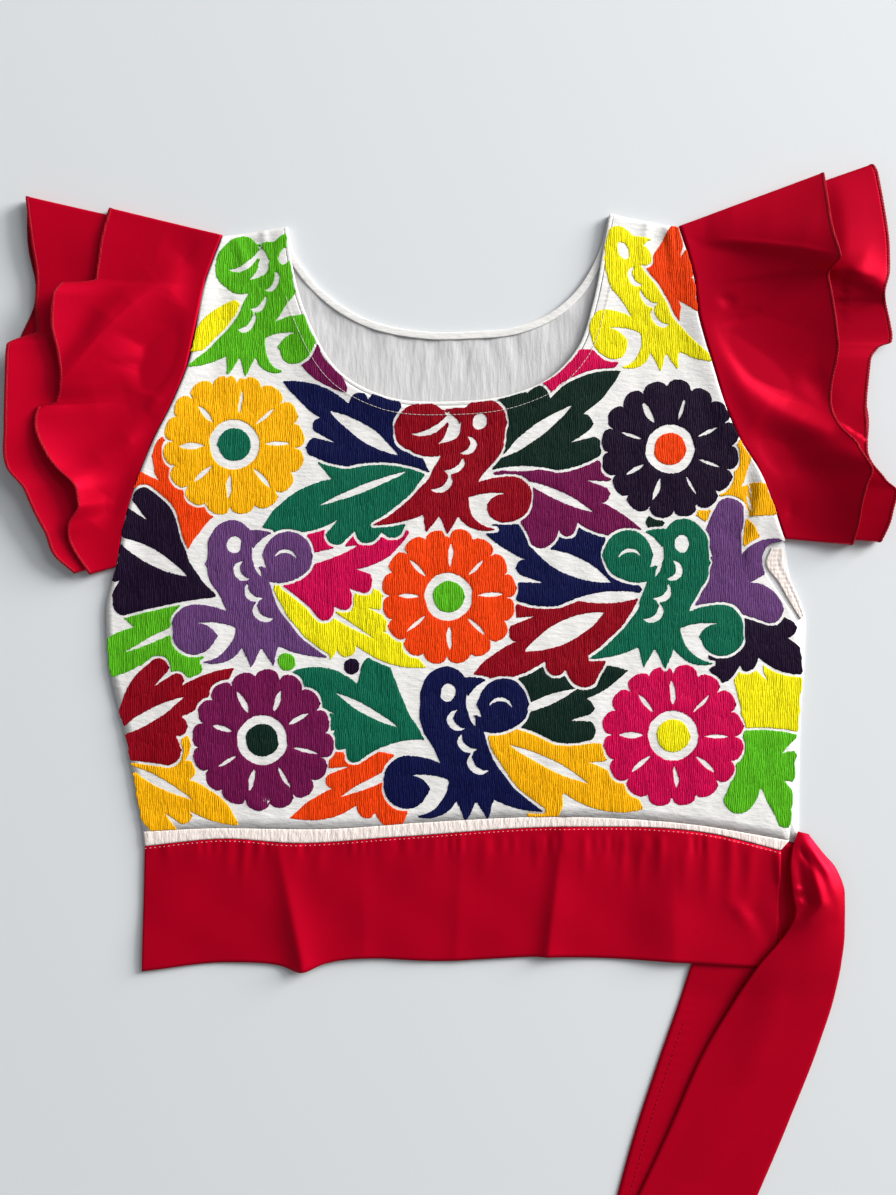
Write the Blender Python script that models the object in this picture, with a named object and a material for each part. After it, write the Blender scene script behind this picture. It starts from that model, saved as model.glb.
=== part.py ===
"""A crop blouse laid flat on a table: an embroidered cotton bodice with a wide neck, a red satin
band at the waist with two ties at one side, and two satin flounces at each armhole.

X runs across the blouse to the viewer's right, Y up to the neck and Z off the table. The tables
below are in millimetres, measured from the middle of the band's lower edge. The finished pieces
are moved so that the frame's origin is the middle of the whole outline, on the table.
"""
import bpy
import numpy as np

MILLIMETRE = 0.001

# The cloth and how the plies lie on each other
WALL = 1.2
SATIN_WALL = 1.0
SEAM_GAP = 0.3
BACK_LEVEL = WALL / 2
FRONT_LEVEL = 2.4
NECK_LIFT = 2.4
NECK_LIFT_REACH = 20.0
ARM_RISE = 1.3
ARM_RISE_REACH = 9.0

# The front is a little fuller than the back: it stands up by PUFF between these ramps
PUFF = 2.2
PUFF_FOOT_RAMP = (92, 150)
PUFF_SIDE_RAMP = (236, 170)
PUFF_NECK_RAMP = (430, 330)

# The front neckline, from the left shoulder round to the right one
NECK_FRONT = [
    # x, y
    (-110, 497), (-108, 479), (-97, 437), (-73, 398), (-45, 383), (0, 379),
    (45, 385), (67, 395), (86, 415), (97, 447), (104, 484), (108, 506),
]

# The back neckline, the same way round
NECK_BACK = [
    # x, y
    (-110, 498), (-106, 481), (-95, 464), (-82, 451), (-60, 437), (-18, 427),
    (14, 427), (44, 430), (67, 439), (84, 453), (101, 481), (108, 506),
]

ARMHOLE_LEFT = [
    # x, y
    (-154, 491), (-165, 462), (-178, 402), (-188, 378), (-201, 352), (-218, 306), (-226, 266),
]
ARMHOLE_RIGHT = [
    # x, y
    (155, 497), (165, 464), (168, 438), (176, 410), (197, 352), (208, 335), (227, 285),
]
SIDE_LEFT = [
    # x, y
    (-226, 266), (-233, 241), (-233, 225), (-230, 194), (-220, 154), (-208, 88),
]
SIDE_RIGHT = [
    # x, y: the front's edge, drawn back at the top where the side opening shows
    (227, 285), (215, 282), (211, 271), (220, 254), (235, 229), (238, 208), (235, 148), (230, 82),
]
SIDE_RIGHT_BACK = [
    # x, y
    (227, 285), (231, 260), (241, 234), (241, 215), (238, 163), (237, 116), (237, 80),
]

# The stitched foot of the front, and the seam where the satin band begins
STRIP_TOP = [
    # x, y
    (-208, 88), (-170, 90), (-77, 90), (-21, 94), (76, 98), (163, 93), (230, 82),
]
STRIP_FOOT = [
    # x, y
    (-207, 78), (-152, 83), (-107, 80), (-39, 84), (76, 91), (180, 86), (224, 75),
]
BACK_FOOT = STRIP_FOOT[:-1] + [(237, 80)]
BAND_FOOT = [
    # x, y
    (-209, -7), (-150, -1), (-116, -3), (-101, -7), (-86, -2), (0, 0),
    (66, 3), (102, 2), (160, -1), (221, -5),
]
BAND_FOLDS = [
    # x at the seam, x at the foot, height at the seam, height at the foot, width
    (-118, -100, 1.0, 6.5, 13.0),
    (76, 65, 1.2, 5.5, 12.0),
    (-20, -26, 0.6, 1.6, 22.0),
    (150, 152, 0.8, 2.2, 24.0),
]
BAND_BACK_END = (249, -2)
BAND_BACK_SHORTER = (0.0, 1.0)
BAND_DEPTH = 88.0
BAND_SEAM_Y = 85.0

# The front of the band rises over the tie that runs under it
BAND_RISE = 1.5
BAND_RISE_RAMP = (118, 150)

# Where the rays of each pair of flounces start on the armhole, and where they point
FAN_LEFT = [
    # along the armhole, x, y
    (0.0, -290, 523), (0.15, -292, 462), (0.35, -300, 405), (0.55, -302, 358),
    (0.75, -288, 312), (0.9, -268, 278), (1.0, -248, 259),
]
FAN_RIGHT = [
    # along the armhole, x, y
    (0.0, 290, 546), (0.156, 297, 480), (0.27, 300, 436), (0.4, 292, 405), (0.547, 288, 372),
    (0.67, 292, 345), (0.76, 300, 325), (0.89, 300, 302), (1.0, 290, 279),
]

# The hems of the flounces from the shoulder to the underarm, a row for each turn of a wave
HEM_LEFT_UPPER = [
    # x, y, height
    (-230, 510, 7), (-237, 484, 9), (-239, 461, 8), (-248, 456, 13), (-260, 452, 20),
    (-264, 441, 24), (-262, 411, 22), (-261, 389, 17), (-265, 377, 12), (-274, 374, 18),
    (-276, 366, 25), (-271, 347, 28), (-257, 330, 26), (-247, 310, 22), (-256, 297, 14),
    (-257, 284, 10), (-246, 266, 7),
]
HEM_LEFT_LOWER = [
    # x, y, height
    (-287, 502, 8), (-281, 486, 8), (-279, 464, 6), (-280, 444, 5), (-279, 424, 5),
    (-288, 420, 7), (-297, 416, 11), (-299, 393, 12), (-299, 359, 10), (-301, 331, 9),
    (-290, 316, 8), (-281, 299, 7), (-270, 281, 6), (-250, 260, 5),
]
HEM_RIGHT_UPPER = [
    # x, y, height
    (252, 530, 7), (254, 515, 12), (255, 488, 22), (257, 468, 27), (254, 461, 17),
    (258, 451, 11), (263, 430, 10), (263, 408, 10), (260, 392, 10), (257, 376, 10),
    (260, 363, 11), (271, 348, 17), (280, 334, 24), (279, 321, 24), (275, 300, 18), (273, 283, 8),
]
HEM_RIGHT_LOWER = [
    # x, y, height
    (284, 541, 5), (291, 530, 8), (291, 513, 12), (293, 491, 15), (297, 470, 16),
    (295, 453, 14), (291, 443, 10), (296, 434, 7), (298, 419, 5), (289, 413, 5),
    (283, 400, 5), (280, 373, 6), (281, 353, 6), (286, 331, 6), (302, 318, 10),
    (298, 304, 11), (288, 281, 6),
]

# How the plies of a sleeve lie at the armhole, from the table up
UPPER_BACK = SATIN_WALL / 2
LOWER_BACK = UPPER_BACK + SATIN_WALL + SEAM_GAP
LOWER_FRONT = LOWER_BACK + SATIN_WALL + SEAM_GAP
PLY = SATIN_WALL + SEAM_GAP + 0.1
ARM_SEAM_START = 0.7
FOLD_REACH = 0.9
FOLD_TURNS = (45, 90, 135)
BACK_COLUMNS = 14
BACK_RIPPLE = 0.03
BACK_RIPPLES = 25.0
BACK_RAMP = 0.15

# tier: (rise from the seam to the hem as a power, shares of the armhole it spans, how far out
# the back's hem lies, rows of faces from seam to hem, level of the back)
TIERS = {
    "upper": (1.35, (0.0, 0.988), 0.74, 5, UPPER_BACK),
    "lower": (2.2, (0.014, 0.972), 0.93, 6, LOWER_BACK),
}
RAY_SAMPLES = 4001
HEM_ROW_STEP = 0.004
COLUMN_LEAST = 0.003
COLUMN_MOST = 0.035

# The facing of the side opening, from the underarm down
FACING = [
    # outer x, outer y, inner x, inner y
    (226, 280, 218, 280), (227, 268, 214.5, 270), (232, 256, 223, 257), (237, 244, 231, 243),
    (240, 234, 238, 232),
]

# The ties, a row for each section from the band to the free end
TIE_OVER = [
    # left x, left y, right x, right y, level, crown
    (237, 88, 243, 86, 2.6, 0.5),
    (239, 77, 252, 74, 5.0, 2.0),
    (243, 64, 261, 63, 7.5, 3.0),
    (245, 43, 266, 46, 9.0, 4.5),
    (229, 24, 266, 24, 8.5, 3.5),
    (207, -4, 264, -1, 7.0, 2.5),
    (193, -26, 260, -24, 4.2, 1.8),
    (171, -64, 250, -57, 2.4, 0.8),
    (148, -116, 231, -106, 2.0, 0.3),
    (107, -204, 195, -192, 2.0, 0.2),
    (84, -258, 174, -248, 2.0, 0.2),
    (62, -309, 153, -298, 2.0, 0.2),
]
TIE_UNDER = [
    # left x, left y, right x, right y, level, crown
    (200, 62, 219, 64, 2.1, 0.0),
    (183, 38, 223, 36, 2.1, 0.0),
    (169, 14, 225, 10, 2.1, 0.0),
    (163, -5, 228, -10, 1.9, 0.0),
    (156, -27, 232, -30, 0.5, 0.0),
    (142, -67, 224, -68, 0.5, 0.0),
    (124, -122, 209, -122, 0.5, 0.0),
    (102, -205, 189, -203, 0.5, 0.0),
    (86, -268, 172, -264, 0.5, 0.0),
    (78, -297, 163, -292, 0.5, 0.0),
]

TIE_ACROSS = {"tie_over": 6, "tie_under": 3}

# Narrow pieces
BINDING_WIDTH = 5.0
BINDING_WALL = 1.2
EDGE_WIDTH = 2.6
EDGE_WALL = 1.8
STRIP_WALL = 1.5
FACING_WALL = 1.0
NARROW_COLUMNS = 41
FACING_COLUMNS = 13

# How finely the panels are divided, and where on the neckline the rays to the corners start
FRONT_RINGS = (0, 0.06, 0.16, 0.34, 0.6, 0.88, 1)
BACK_RINGS = (0, 0.33, 0.66, 1)
CORNER_RAYS = (0.0, 0.3, 0.4, 0.6, 0.7, 1.0)
WAIST_COLUMNS = 19
FOLD_COLUMNS = (-1.0, -0.5, 0.0, 0.5, 1.0)
WAIST_LEAST = 0.008
BAND_ACROSS = 5
STRIP_ACROSS = 3

RED = (0.46, 0.005, 0.018, 1.0)
WHITE = (0.83, 0.80, 0.75, 1.0)
CREAM = (0.80, 0.73, 0.60, 1.0)
SATIN_ROUGHNESS = 0.35
COTTON_ROUGHNESS = 0.8


def length_shares(points):
    """The share of a line's length at each of its points."""
    steps = np.linalg.norm(np.diff(np.array(points, float), axis=0), axis=1)
    return np.concatenate([[0.0], np.cumsum(steps)]) / steps.sum()


def cubic(known, values, slope, at):
    """Hermite cubics through known values with the given slopes, read at the places `at`."""
    at = np.clip(np.asarray(at, float), known[0], known[-1])
    k = np.clip(np.searchsorted(known, at, side="right") - 1, 0, len(known) - 2)
    width = known[k + 1] - known[k]
    t = (at - known[k]) / width
    if values.ndim == 2:
        t, width = t[:, None], width[:, None]
    return ((1 + 2 * t) * (1 - t) ** 2 * values[k] + t * (1 - t) ** 2 * width * slope[k]
            + t * t * (3 - 2 * t) * values[k + 1] + t * t * (t - 1) * width * slope[k + 1])


def smooth_line(rows, at):
    """Points at the given shares of the length of a smooth line through the rows of a table."""
    points = np.array(rows, float)
    along = length_shares(points)
    return cubic(along, points, np.gradient(points, along, axis=0), at)


def through(known, values, at):
    """Values between known ones, by cubics that never overshoot a row."""
    rise = np.diff(values) / np.diff(known)
    slope = np.zeros(len(known))
    level = rise[:-1] * rise[1:] <= 0
    slope[1:-1] = np.where(level, 0.0, 2 * rise[:-1] * rise[1:] / np.where(level, 1.0, rise[:-1] + rise[1:]))
    slope[0], slope[-1] = rise[0], rise[-1]
    return cubic(known, values, slope, at)


def smoothstep(low, high, value):
    """0 at low, 1 at high and a soft ramp between."""
    t = np.clip((value - low) / (high - low), 0.0, 1.0)
    return t * t * (3 - 2 * t)


def distance_to(line, x, y):
    """The plan distance from each x, y to the nearest stretch of a line."""
    start, run = line[:-1], np.diff(line, axis=0)
    px = x[..., None] - start[:, 0]
    py = y[..., None] - start[:, 1]
    t = np.clip((px * run[:, 0] + py * run[:, 1]) / (run ** 2).sum(axis=1), 0.0, 1.0)
    return np.sqrt((px - t * run[:, 0]) ** 2 + (py - t * run[:, 1]) ** 2).min(axis=-1)


def offset_line(line, distance):
    """A line moved sideways in plan, to the right of its direction of travel."""
    along = np.gradient(line, axis=0)
    along /= np.linalg.norm(along, axis=1)[:, None]
    return line + distance * np.column_stack([along[:, 1], -along[:, 0]])


NECK_LINE = smooth_line(NECK_FRONT, np.linspace(0, 1, 60))
ARM_LINES = [smooth_line(rows, np.linspace(0, 1, 40)) for rows in (ARMHOLE_LEFT, ARMHOLE_RIGHT)]


def front_height(x, y):
    """The middle of the front panel's wall: level, lifted along the neck, up at the armholes."""
    neck = NECK_LIFT * np.exp(-(distance_to(NECK_LINE, x, y) / NECK_LIFT_REACH) ** 2)
    arm = sum(ARM_RISE * np.exp(-(distance_to(line, x, y) / ARM_RISE_REACH) ** 2)
              for line in ARM_LINES)
    puff = smoothstep(*PUFF_FOOT_RAMP, y) * smoothstep(*PUFF_SIDE_RAMP, np.abs(x))
    return FRONT_LEVEL + np.maximum(neck, arm) + PUFF * puff * smoothstep(*PUFF_NECK_RAMP, y)


def band_height(x, y):
    """The middle of the band's front: level, with its folds and its rise over the tie."""
    down = np.clip((BAND_SEAM_Y - y) / BAND_DEPTH, 0.0, 1.0)
    height = FRONT_LEVEL + BAND_RISE * smoothstep(*BAND_RISE_RAMP, x)
    for x_seam, x_foot, h_seam, h_foot, width in BAND_FOLDS:
        across = x - (x_seam + (x_foot - x_seam) * down)
        ridge = np.exp(-(across / (width / 2)) ** 2)
        height = height + (h_seam + (h_foot - h_seam) * down) * ridge
    return height


def flat(level):
    """A height that is the same everywhere."""
    return lambda x, y: np.full(np.shape(x), level)


def wall(middle, thickness, ring=False, upright=False):
    """A closed wall round a grid of middle points: both faces and a rim at every open edge.

    The faces lie half the thickness off the middle, along its normals or straight up and down.
    A ring's last column joins its first.
    """
    columns, rows = middle.shape[:2]
    normal = np.zeros_like(middle)
    if upright:
        normal[..., 2] = 1.0
    else:
        across = np.gradient(middle, axis=0)
        if ring:
            across = np.roll(middle, -1, axis=0) - np.roll(middle, 1, axis=0)
        normal = np.cross(across, np.gradient(middle, axis=1))
        normal /= np.linalg.norm(normal, axis=2)[..., None]
    points = np.vstack([(middle + side * normal * thickness / 2).reshape(-1, 3) for side in (1, -1)])
    number = np.arange(columns * rows).reshape(columns, rows)
    if ring:
        number = np.vstack([number, number[:1]])
    far = columns * rows
    corners = [number[:-1, :-1], number[1:, :-1], number[1:, 1:], number[:-1, 1:]]
    sheet = np.column_stack([corner.ravel() for corner in corners])
    rims = [number[:, 0], number[::-1, -1]]
    if not ring:
        rims += [number[0, ::-1], number[-1, :]]
    faces = [sheet, sheet[:, ::-1] + far]
    for rim in rims:
        faces.append(np.column_stack([rim[:-1], rim[:-1] + far, rim[1:] + far, rim[1:]]))
    faces = np.vstack(faces)
    fan = [points[faces[:, corner]] for corner in range(4)]
    volume = sum(np.einsum("ij,ij->", fan[0], np.cross(fan[k], fan[k + 1])) for k in (1, 2))
    return points, faces if volume > 0 else faces[:, ::-1]


def strip(line_a, line_b, across, height):
    """A grid between two lines of equal count, with a height for each place."""
    share = np.linspace(0, 1, across)[None, :, None]
    plan = line_a[:, None, :] * (1 - share) + line_b[:, None, :] * share
    return np.dstack([plan, height(plan[..., 0], plan[..., 1])])


def waist_shares():
    """The places along the waist that every piece there shares: even, and closer at the folds."""
    first, last = STRIP_FOOT[0][0], STRIP_FOOT[-1][0]
    folds = [x_seam + part * width / 2 for x_seam, _, _, _, width in BAND_FOLDS[:2] for part in FOLD_COLUMNS]
    at_folds = (np.array(folds) - first) / (last - first)
    at = np.sort(np.concatenate([np.linspace(0, 1, WAIST_COLUMNS), at_folds]))
    return at[np.concatenate([[True], np.diff(at) > WAIST_LEAST])]


def row_shares(rows, between=1):
    """The shares of a line's length at its rows, each stretch cut into `between` parts."""
    count = len(rows)
    return np.interp(np.arange((count - 1) * between + 1) / between, np.arange(count), length_shares(rows))


def bodice_panel(neck, side_right, foot, rings, height, inset):
    """A panel as rays from the neckline to the outer edge, with a ring of points at each share.

    The outer edge runs from the left shoulder tip down the armhole and the side, along the
    waist, and up the other side and armhole to the right shoulder tip.
    """
    stretches = [
        smooth_line(ARMHOLE_LEFT, row_shares(ARMHOLE_LEFT, 2)),
        smooth_line(SIDE_LEFT, row_shares(SIDE_LEFT)),
        smooth_line(foot, waist_shares()),
        smooth_line(side_right, row_shares(side_right))[::-1],
        smooth_line(ARMHOLE_RIGHT, row_shares(ARMHOLE_RIGHT, 2))[::-1],
    ]
    outer = np.vstack([stretch[:-1] for stretch in stretches[:-1]] + [stretches[-1]])
    corners = np.cumsum([0] + [len(stretch) - 1 for stretch in stretches])
    inner = offset_line(smooth_line(neck, np.interp(np.arange(len(outer)), corners, CORNER_RAYS)), inset)
    share = np.array(rings)[None, :, None]
    plan = inner[:, None, :] * (1 - share) + outer[:, None, :] * share
    return wall(np.dstack([plan, height(plan[..., 0], plan[..., 1])]), WALL, upright=True)


class Sleeve:
    """The two flounces of one armhole, on shared rays from the seam outwards.

    A place is given by `along`, the share of the armhole from the shoulder down, and `out`, the
    share of the ray's length. The longer flounce lies inside the shorter one, and the shorter
    one's front is always a ply above the longer one's, so the two never cross.
    """

    def __init__(self, armhole, fan, hem_upper, hem_lower):
        self.line = smooth_line(armhole, row_shares(armhole, 2))
        self.line_shares = length_shares(self.line)
        self.fan = np.array(fan, float)
        self.hems = {"upper": self.on_rays(hem_upper), "lower": self.on_rays(hem_lower)}

    def seam(self, along):
        return np.column_stack([np.interp(along, self.line_shares, self.line[:, axis]) for axis in (0, 1)])

    def ray(self, along):
        tip = [through(self.fan[:, 0], self.fan[:, axis], along) for axis in (1, 2)]
        return np.column_stack(tip) - self.seam(along)

    def on_rays(self, hem):
        """Each row's share of the armhole and of its ray, from its place in plan."""
        along = np.linspace(0, 1, RAY_SAMPLES)
        seam, ray = self.seam(along), self.ray(along)
        length = np.linalg.norm(ray, axis=1)
        found = []
        for x, y, height in hem:
            to = np.array([x, y]) - seam
            k = int(np.argmin(np.abs(ray[:, 0] * to[:, 1] - ray[:, 1] * to[:, 0]) / length))
            found.append((along[k], (to[k] @ ray[k]) / length[k] ** 2, height))
        found = np.array(found)
        found[0, 0] = 0.0
        for k in range(1, len(found)):
            found[k, 0] = max(found[k, 0], found[k - 1, 0] + HEM_ROW_STEP)
        found[-1, 0] = 1.0
        return found

    def hem(self, tier, along):
        """How far out the hem is, and how high, on the front."""
        known, reach, height = self.hems[tier].T
        return through(known, reach, along), through(known, height, along)

    def front(self, tier, along, out):
        """The height of a flounce's front: a power of the way out, from the seam to the hem."""
        reach, height = self.hem("lower", along)
        power = TIERS["lower"][0]
        low = LOWER_FRONT + (height - LOWER_FRONT) * (out / reach) ** power
        if tier == "lower":
            return low
        reach_up, height_up = self.hem("upper", along)
        low_at_hem = LOWER_FRONT + (height - LOWER_FRONT) * (reach_up / reach) ** power
        extra = np.maximum(height_up - low_at_hem - PLY, 0.0)
        return low + PLY + extra * (out / reach_up) ** TIERS["upper"][0]

    def back_reach(self, tier, along):
        """How far out the hem is on the back, which lies flat on the table."""
        ends = self.hem(tier, np.array([0.0, 1.0]))[0]
        middle = TIERS[tier][2] * (1 + BACK_RIPPLE * np.sin(along * BACK_RIPPLES))
        blend = smoothstep(0.0, BACK_RAMP, along) * smoothstep(1.0, 1.0 - BACK_RAMP, along)
        return (ends[0] * (1 - along) + ends[1] * along) * (1 - blend) + middle * blend

    def columns(self, along, reach, height, rows):
        """Columns of points from the seam to the hem, one for each share of the armhole."""
        share = np.linspace(0, 1, rows + 1)[None, :]
        start = (ARM_SEAM_START / np.linalg.norm(self.ray(along), axis=1))[:, None]
        out = start + (reach[:, None] - start) * share
        wide = np.repeat(along[:, None], rows + 1, axis=1)
        plan = self.seam(along)[:, None, :] + self.ray(along)[:, None, :] * out[..., None]
        return np.dstack([plan, height(wide.ravel(), out.ravel()).reshape(out.shape)])

    def fold(self, along, top, bottom):
        """Columns round a fold edge, bulging away from the rest of the sleeve."""
        ray = self.ray(np.array([along]))[0]
        out = np.array([-ray[1], ray[0], 0.0]) / np.linalg.norm(ray)
        middle = self.seam(np.array([0.5]))[0] - self.seam(np.array([along]))[0]
        out = out * -np.sign(out[:2] @ middle)
        turns = np.radians(FOLD_TURNS)[:, None, None]
        share = (1 - np.cos(turns)) / 2
        return top * (1 - share) + bottom * share + out * FOLD_REACH * np.sin(turns)

    def tube(self, tier):
        """The flattened tube: down the front, round the underarm fold, up the back, and round."""
        _, (first, last), _, rows, back_level = TIERS[tier]
        at = np.union1d(self.hems["upper"][:, 0], self.hems["lower"][:, 0])
        at = at[(at > first + 2 * COLUMN_LEAST) & (at < last - 2 * COLUMN_LEAST)]
        at = np.concatenate([[first], at[np.concatenate([[True], np.diff(at) > COLUMN_LEAST])], [last]])
        wide = np.flatnonzero(np.diff(at) > COLUMN_MOST)
        at = np.sort(np.concatenate([at, (at[wide] + at[wide + 1]) / 2]))
        front = self.columns(at, self.hem(tier, at)[0], lambda a, o: self.front(tier, a, o), rows)
        at = np.linspace(last, first, BACK_COLUMNS)
        back = self.columns(at, self.back_reach(tier, at), flat(back_level), rows)
        ring = [front, self.fold(last, front[-1], back[0]), back, self.fold(first, back[-1], front[0])]
        return wall(np.vstack(ring), SATIN_WALL, ring=True)


def tie(table, across):
    """A tie as sections from the band to its end, each crowned across its width."""
    table = np.array(table, float)
    middle = (table[:, :2] + table[:, 2:4]) / 2
    at = row_shares(middle, 2)
    values = np.column_stack([through(length_shares(middle), column, at) for column in table.T])
    plan = strip(values[:, :2], values[:, 2:4], across + 1, flat(0.0))
    share = np.linspace(0, 1, across + 1)[None, :]
    plan[..., 2] = values[:, 4:5] + values[:, 5:6] * np.sin(np.pi * share)
    return wall(plan, SATIN_WALL)


def facing():
    """The strip of facing on the back panel, in the side opening."""
    table = np.array(FACING, float)
    at = np.linspace(0, 1, FACING_COLUMNS)
    outer, inner = smooth_line(table[:, :2], at), smooth_line(table[:, 2:], at)
    level = flat(WALL + SEAM_GAP + FACING_WALL / 2)
    return wall(strip(outer, inner, STRIP_ACROSS, level), FACING_WALL, upright=True)


def neck_strip(neck, width, height, thickness):
    """A narrow strip that follows a neckline on its outer side."""
    line = smooth_line(neck, np.linspace(0, 1, NARROW_COLUMNS))
    return wall(strip(line, offset_line(line, width), STRIP_ACROSS, height), thickness, upright=True)


def waist_pieces():
    """The stitched strip and the two halves of the band, on shared places along the waist."""
    at = waist_shares()
    below = (0.0, -SEAM_GAP)
    back_foot = BAND_FOOT[:-1] + [BAND_BACK_END]
    strip_grid = strip(smooth_line(STRIP_TOP, at) + below, smooth_line(STRIP_FOOT, at),
                       STRIP_ACROSS, front_height)
    front_grid = strip(smooth_line(STRIP_FOOT, at) + below, smooth_line(BAND_FOOT, at),
                       BAND_ACROSS, band_height)
    back_grid = strip(smooth_line(BACK_FOOT, at) + below, smooth_line(back_foot, at) + BAND_BACK_SHORTER,
                      STRIP_ACROSS, flat(BACK_LEVEL))
    return {
        "waist_strip": wall(strip_grid, STRIP_WALL, upright=True),
        "hem_band_front": wall(front_grid, SATIN_WALL),
        "hem_band_back": wall(back_grid, WALL, upright=True),
    }


def all_pieces():
    """Every piece by name, as points in millimetres and faces."""
    pieces = {
        "bodice_back": bodice_panel(
            NECK_BACK, SIDE_RIGHT_BACK, BACK_FOOT, BACK_RINGS, flat(BACK_LEVEL), 0.0),
        "bodice_front": bodice_panel(
            NECK_FRONT, SIDE_RIGHT, STRIP_TOP, FRONT_RINGS, front_height, EDGE_WIDTH + SEAM_GAP),
        "neck_edge_front": neck_strip(NECK_FRONT, EDGE_WIDTH, front_height, EDGE_WALL),
        "neck_binding_back": neck_strip(
            NECK_BACK, BINDING_WIDTH, flat(WALL + SEAM_GAP + BINDING_WALL / 2), BINDING_WALL),
        "side_facing": facing(),
        "tie_over": tie(TIE_OVER, TIE_ACROSS["tie_over"]),
        "tie_under": tie(TIE_UNDER, TIE_ACROSS["tie_under"]),
    }
    pieces.update(waist_pieces())
    sleeves = {
        "left": Sleeve(ARMHOLE_LEFT, FAN_LEFT, HEM_LEFT_UPPER, HEM_LEFT_LOWER),
        "right": Sleeve(ARMHOLE_RIGHT, FAN_RIGHT, HEM_RIGHT_UPPER, HEM_RIGHT_LOWER),
    }
    for side, sleeve in sleeves.items():
        for tier in TIERS:
            pieces[f"sleeve_{side}_{tier}"] = sleeve.tube(tier)
    return pieces


def finish_of(name):
    """The colour and roughness of a piece."""
    if name == "side_facing":
        return CREAM, COTTON_ROUGHNESS
    if name.startswith(("sleeve", "tie", "hem_band")):
        return RED, SATIN_ROUGHNESS
    return WHITE, COTTON_ROUGHNESS


def make_material(name, colour, roughness):
    material = bpy.data.materials.new(name)
    material.use_nodes = True
    shader = material.node_tree.nodes["Principled BSDF"]
    shader.inputs["Base Color"].default_value = colour
    shader.inputs["Roughness"].default_value = roughness
    return material


def make_object(name, points, faces):
    mesh = bpy.data.meshes.new(name)
    mesh.from_pydata((points * MILLIMETRE).tolist(), [], faces.tolist())
    mesh.materials.append(make_material(name, *finish_of(name)))
    mesh.shade_smooth()
    bpy.context.scene.collection.objects.link(bpy.data.objects.new(name, mesh))


def main():
    for old in list(bpy.data.objects):
        bpy.data.objects.remove(old)
    pieces = all_pieces()
    every_point = np.vstack([points for points, _ in pieces.values()])
    low, high = every_point.min(axis=0), every_point.max(axis=0)
    origin = np.array([(low[0] + high[0]) / 2, (low[1] + high[1]) / 2, low[2]])
    for name, (points, faces) in pieces.items():
        make_object(name, points - origin, faces)


main()
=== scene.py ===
# %% [markdown]
# # A crop blouse laid flat
# The real blouse is a white cotton bodice covered with hand embroidery, a red satin band and two
# ties at the waist, and two red satin flounces at each armhole. It lies on a table, so almost all
# of it is height over a flat plan. That is why nearly every cloth here is one numpy grid: plan
# lines through short tables of millimetres, and a height for every point.
#
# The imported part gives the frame. Its solids show where each cloth lies, and each of them is
# replaced by a finer cloth on the same lines.

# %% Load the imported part
import bpy
import numpy as np
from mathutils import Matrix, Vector


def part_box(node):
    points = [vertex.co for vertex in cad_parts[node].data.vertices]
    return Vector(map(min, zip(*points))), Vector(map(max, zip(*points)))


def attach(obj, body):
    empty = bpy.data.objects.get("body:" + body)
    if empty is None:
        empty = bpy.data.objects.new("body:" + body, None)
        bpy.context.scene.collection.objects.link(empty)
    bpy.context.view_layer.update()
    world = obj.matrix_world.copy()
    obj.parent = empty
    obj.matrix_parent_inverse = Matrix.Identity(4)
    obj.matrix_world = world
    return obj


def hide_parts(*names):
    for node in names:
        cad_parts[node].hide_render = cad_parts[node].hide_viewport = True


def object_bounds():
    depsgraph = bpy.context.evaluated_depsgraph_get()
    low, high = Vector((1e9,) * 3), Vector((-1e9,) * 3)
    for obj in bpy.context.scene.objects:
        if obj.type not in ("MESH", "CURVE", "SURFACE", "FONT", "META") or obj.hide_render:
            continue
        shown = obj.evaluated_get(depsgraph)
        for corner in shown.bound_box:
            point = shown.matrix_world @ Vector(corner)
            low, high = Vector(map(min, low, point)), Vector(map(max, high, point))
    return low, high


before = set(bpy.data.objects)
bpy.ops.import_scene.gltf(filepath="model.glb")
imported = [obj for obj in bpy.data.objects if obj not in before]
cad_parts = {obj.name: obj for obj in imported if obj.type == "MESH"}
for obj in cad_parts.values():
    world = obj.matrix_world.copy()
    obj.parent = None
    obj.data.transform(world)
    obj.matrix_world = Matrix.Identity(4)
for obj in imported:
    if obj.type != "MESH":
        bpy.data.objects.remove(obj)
cad_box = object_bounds()
print("packed part:", [round(side, 4) for side in cad_box[1] - cad_box[0]], "metres")

# %% [markdown]
# The tables are in millimetres from the middle of the band's lower edge, as a tailor would write
# them down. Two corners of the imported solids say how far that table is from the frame's origin:
# the stitched strip starts at a known x, and the front ends at a known y.

# %% From the table's millimetres to the frame's metres
MM = 0.001
STRIP_LEFT_X = -208
FRONT_FOOT_Y = 82
SHIFT = np.array([
    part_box("waist_strip")[0][0] / MM - STRIP_LEFT_X,
    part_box("bodice_front")[0][1] / MM - FRONT_FOOT_Y,
    0.0,
])
print("the table's origin in the frame:", SHIFT.round(2), "mm")

# %% [markdown]
# ## The pattern pieces
# Each edge of the blouse is a short table. The cloth is drawn with smooth lines through the rows,
# so a neckline needs twelve points and an armhole seven. A maker reads the same points off a
# paper pattern.

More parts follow.
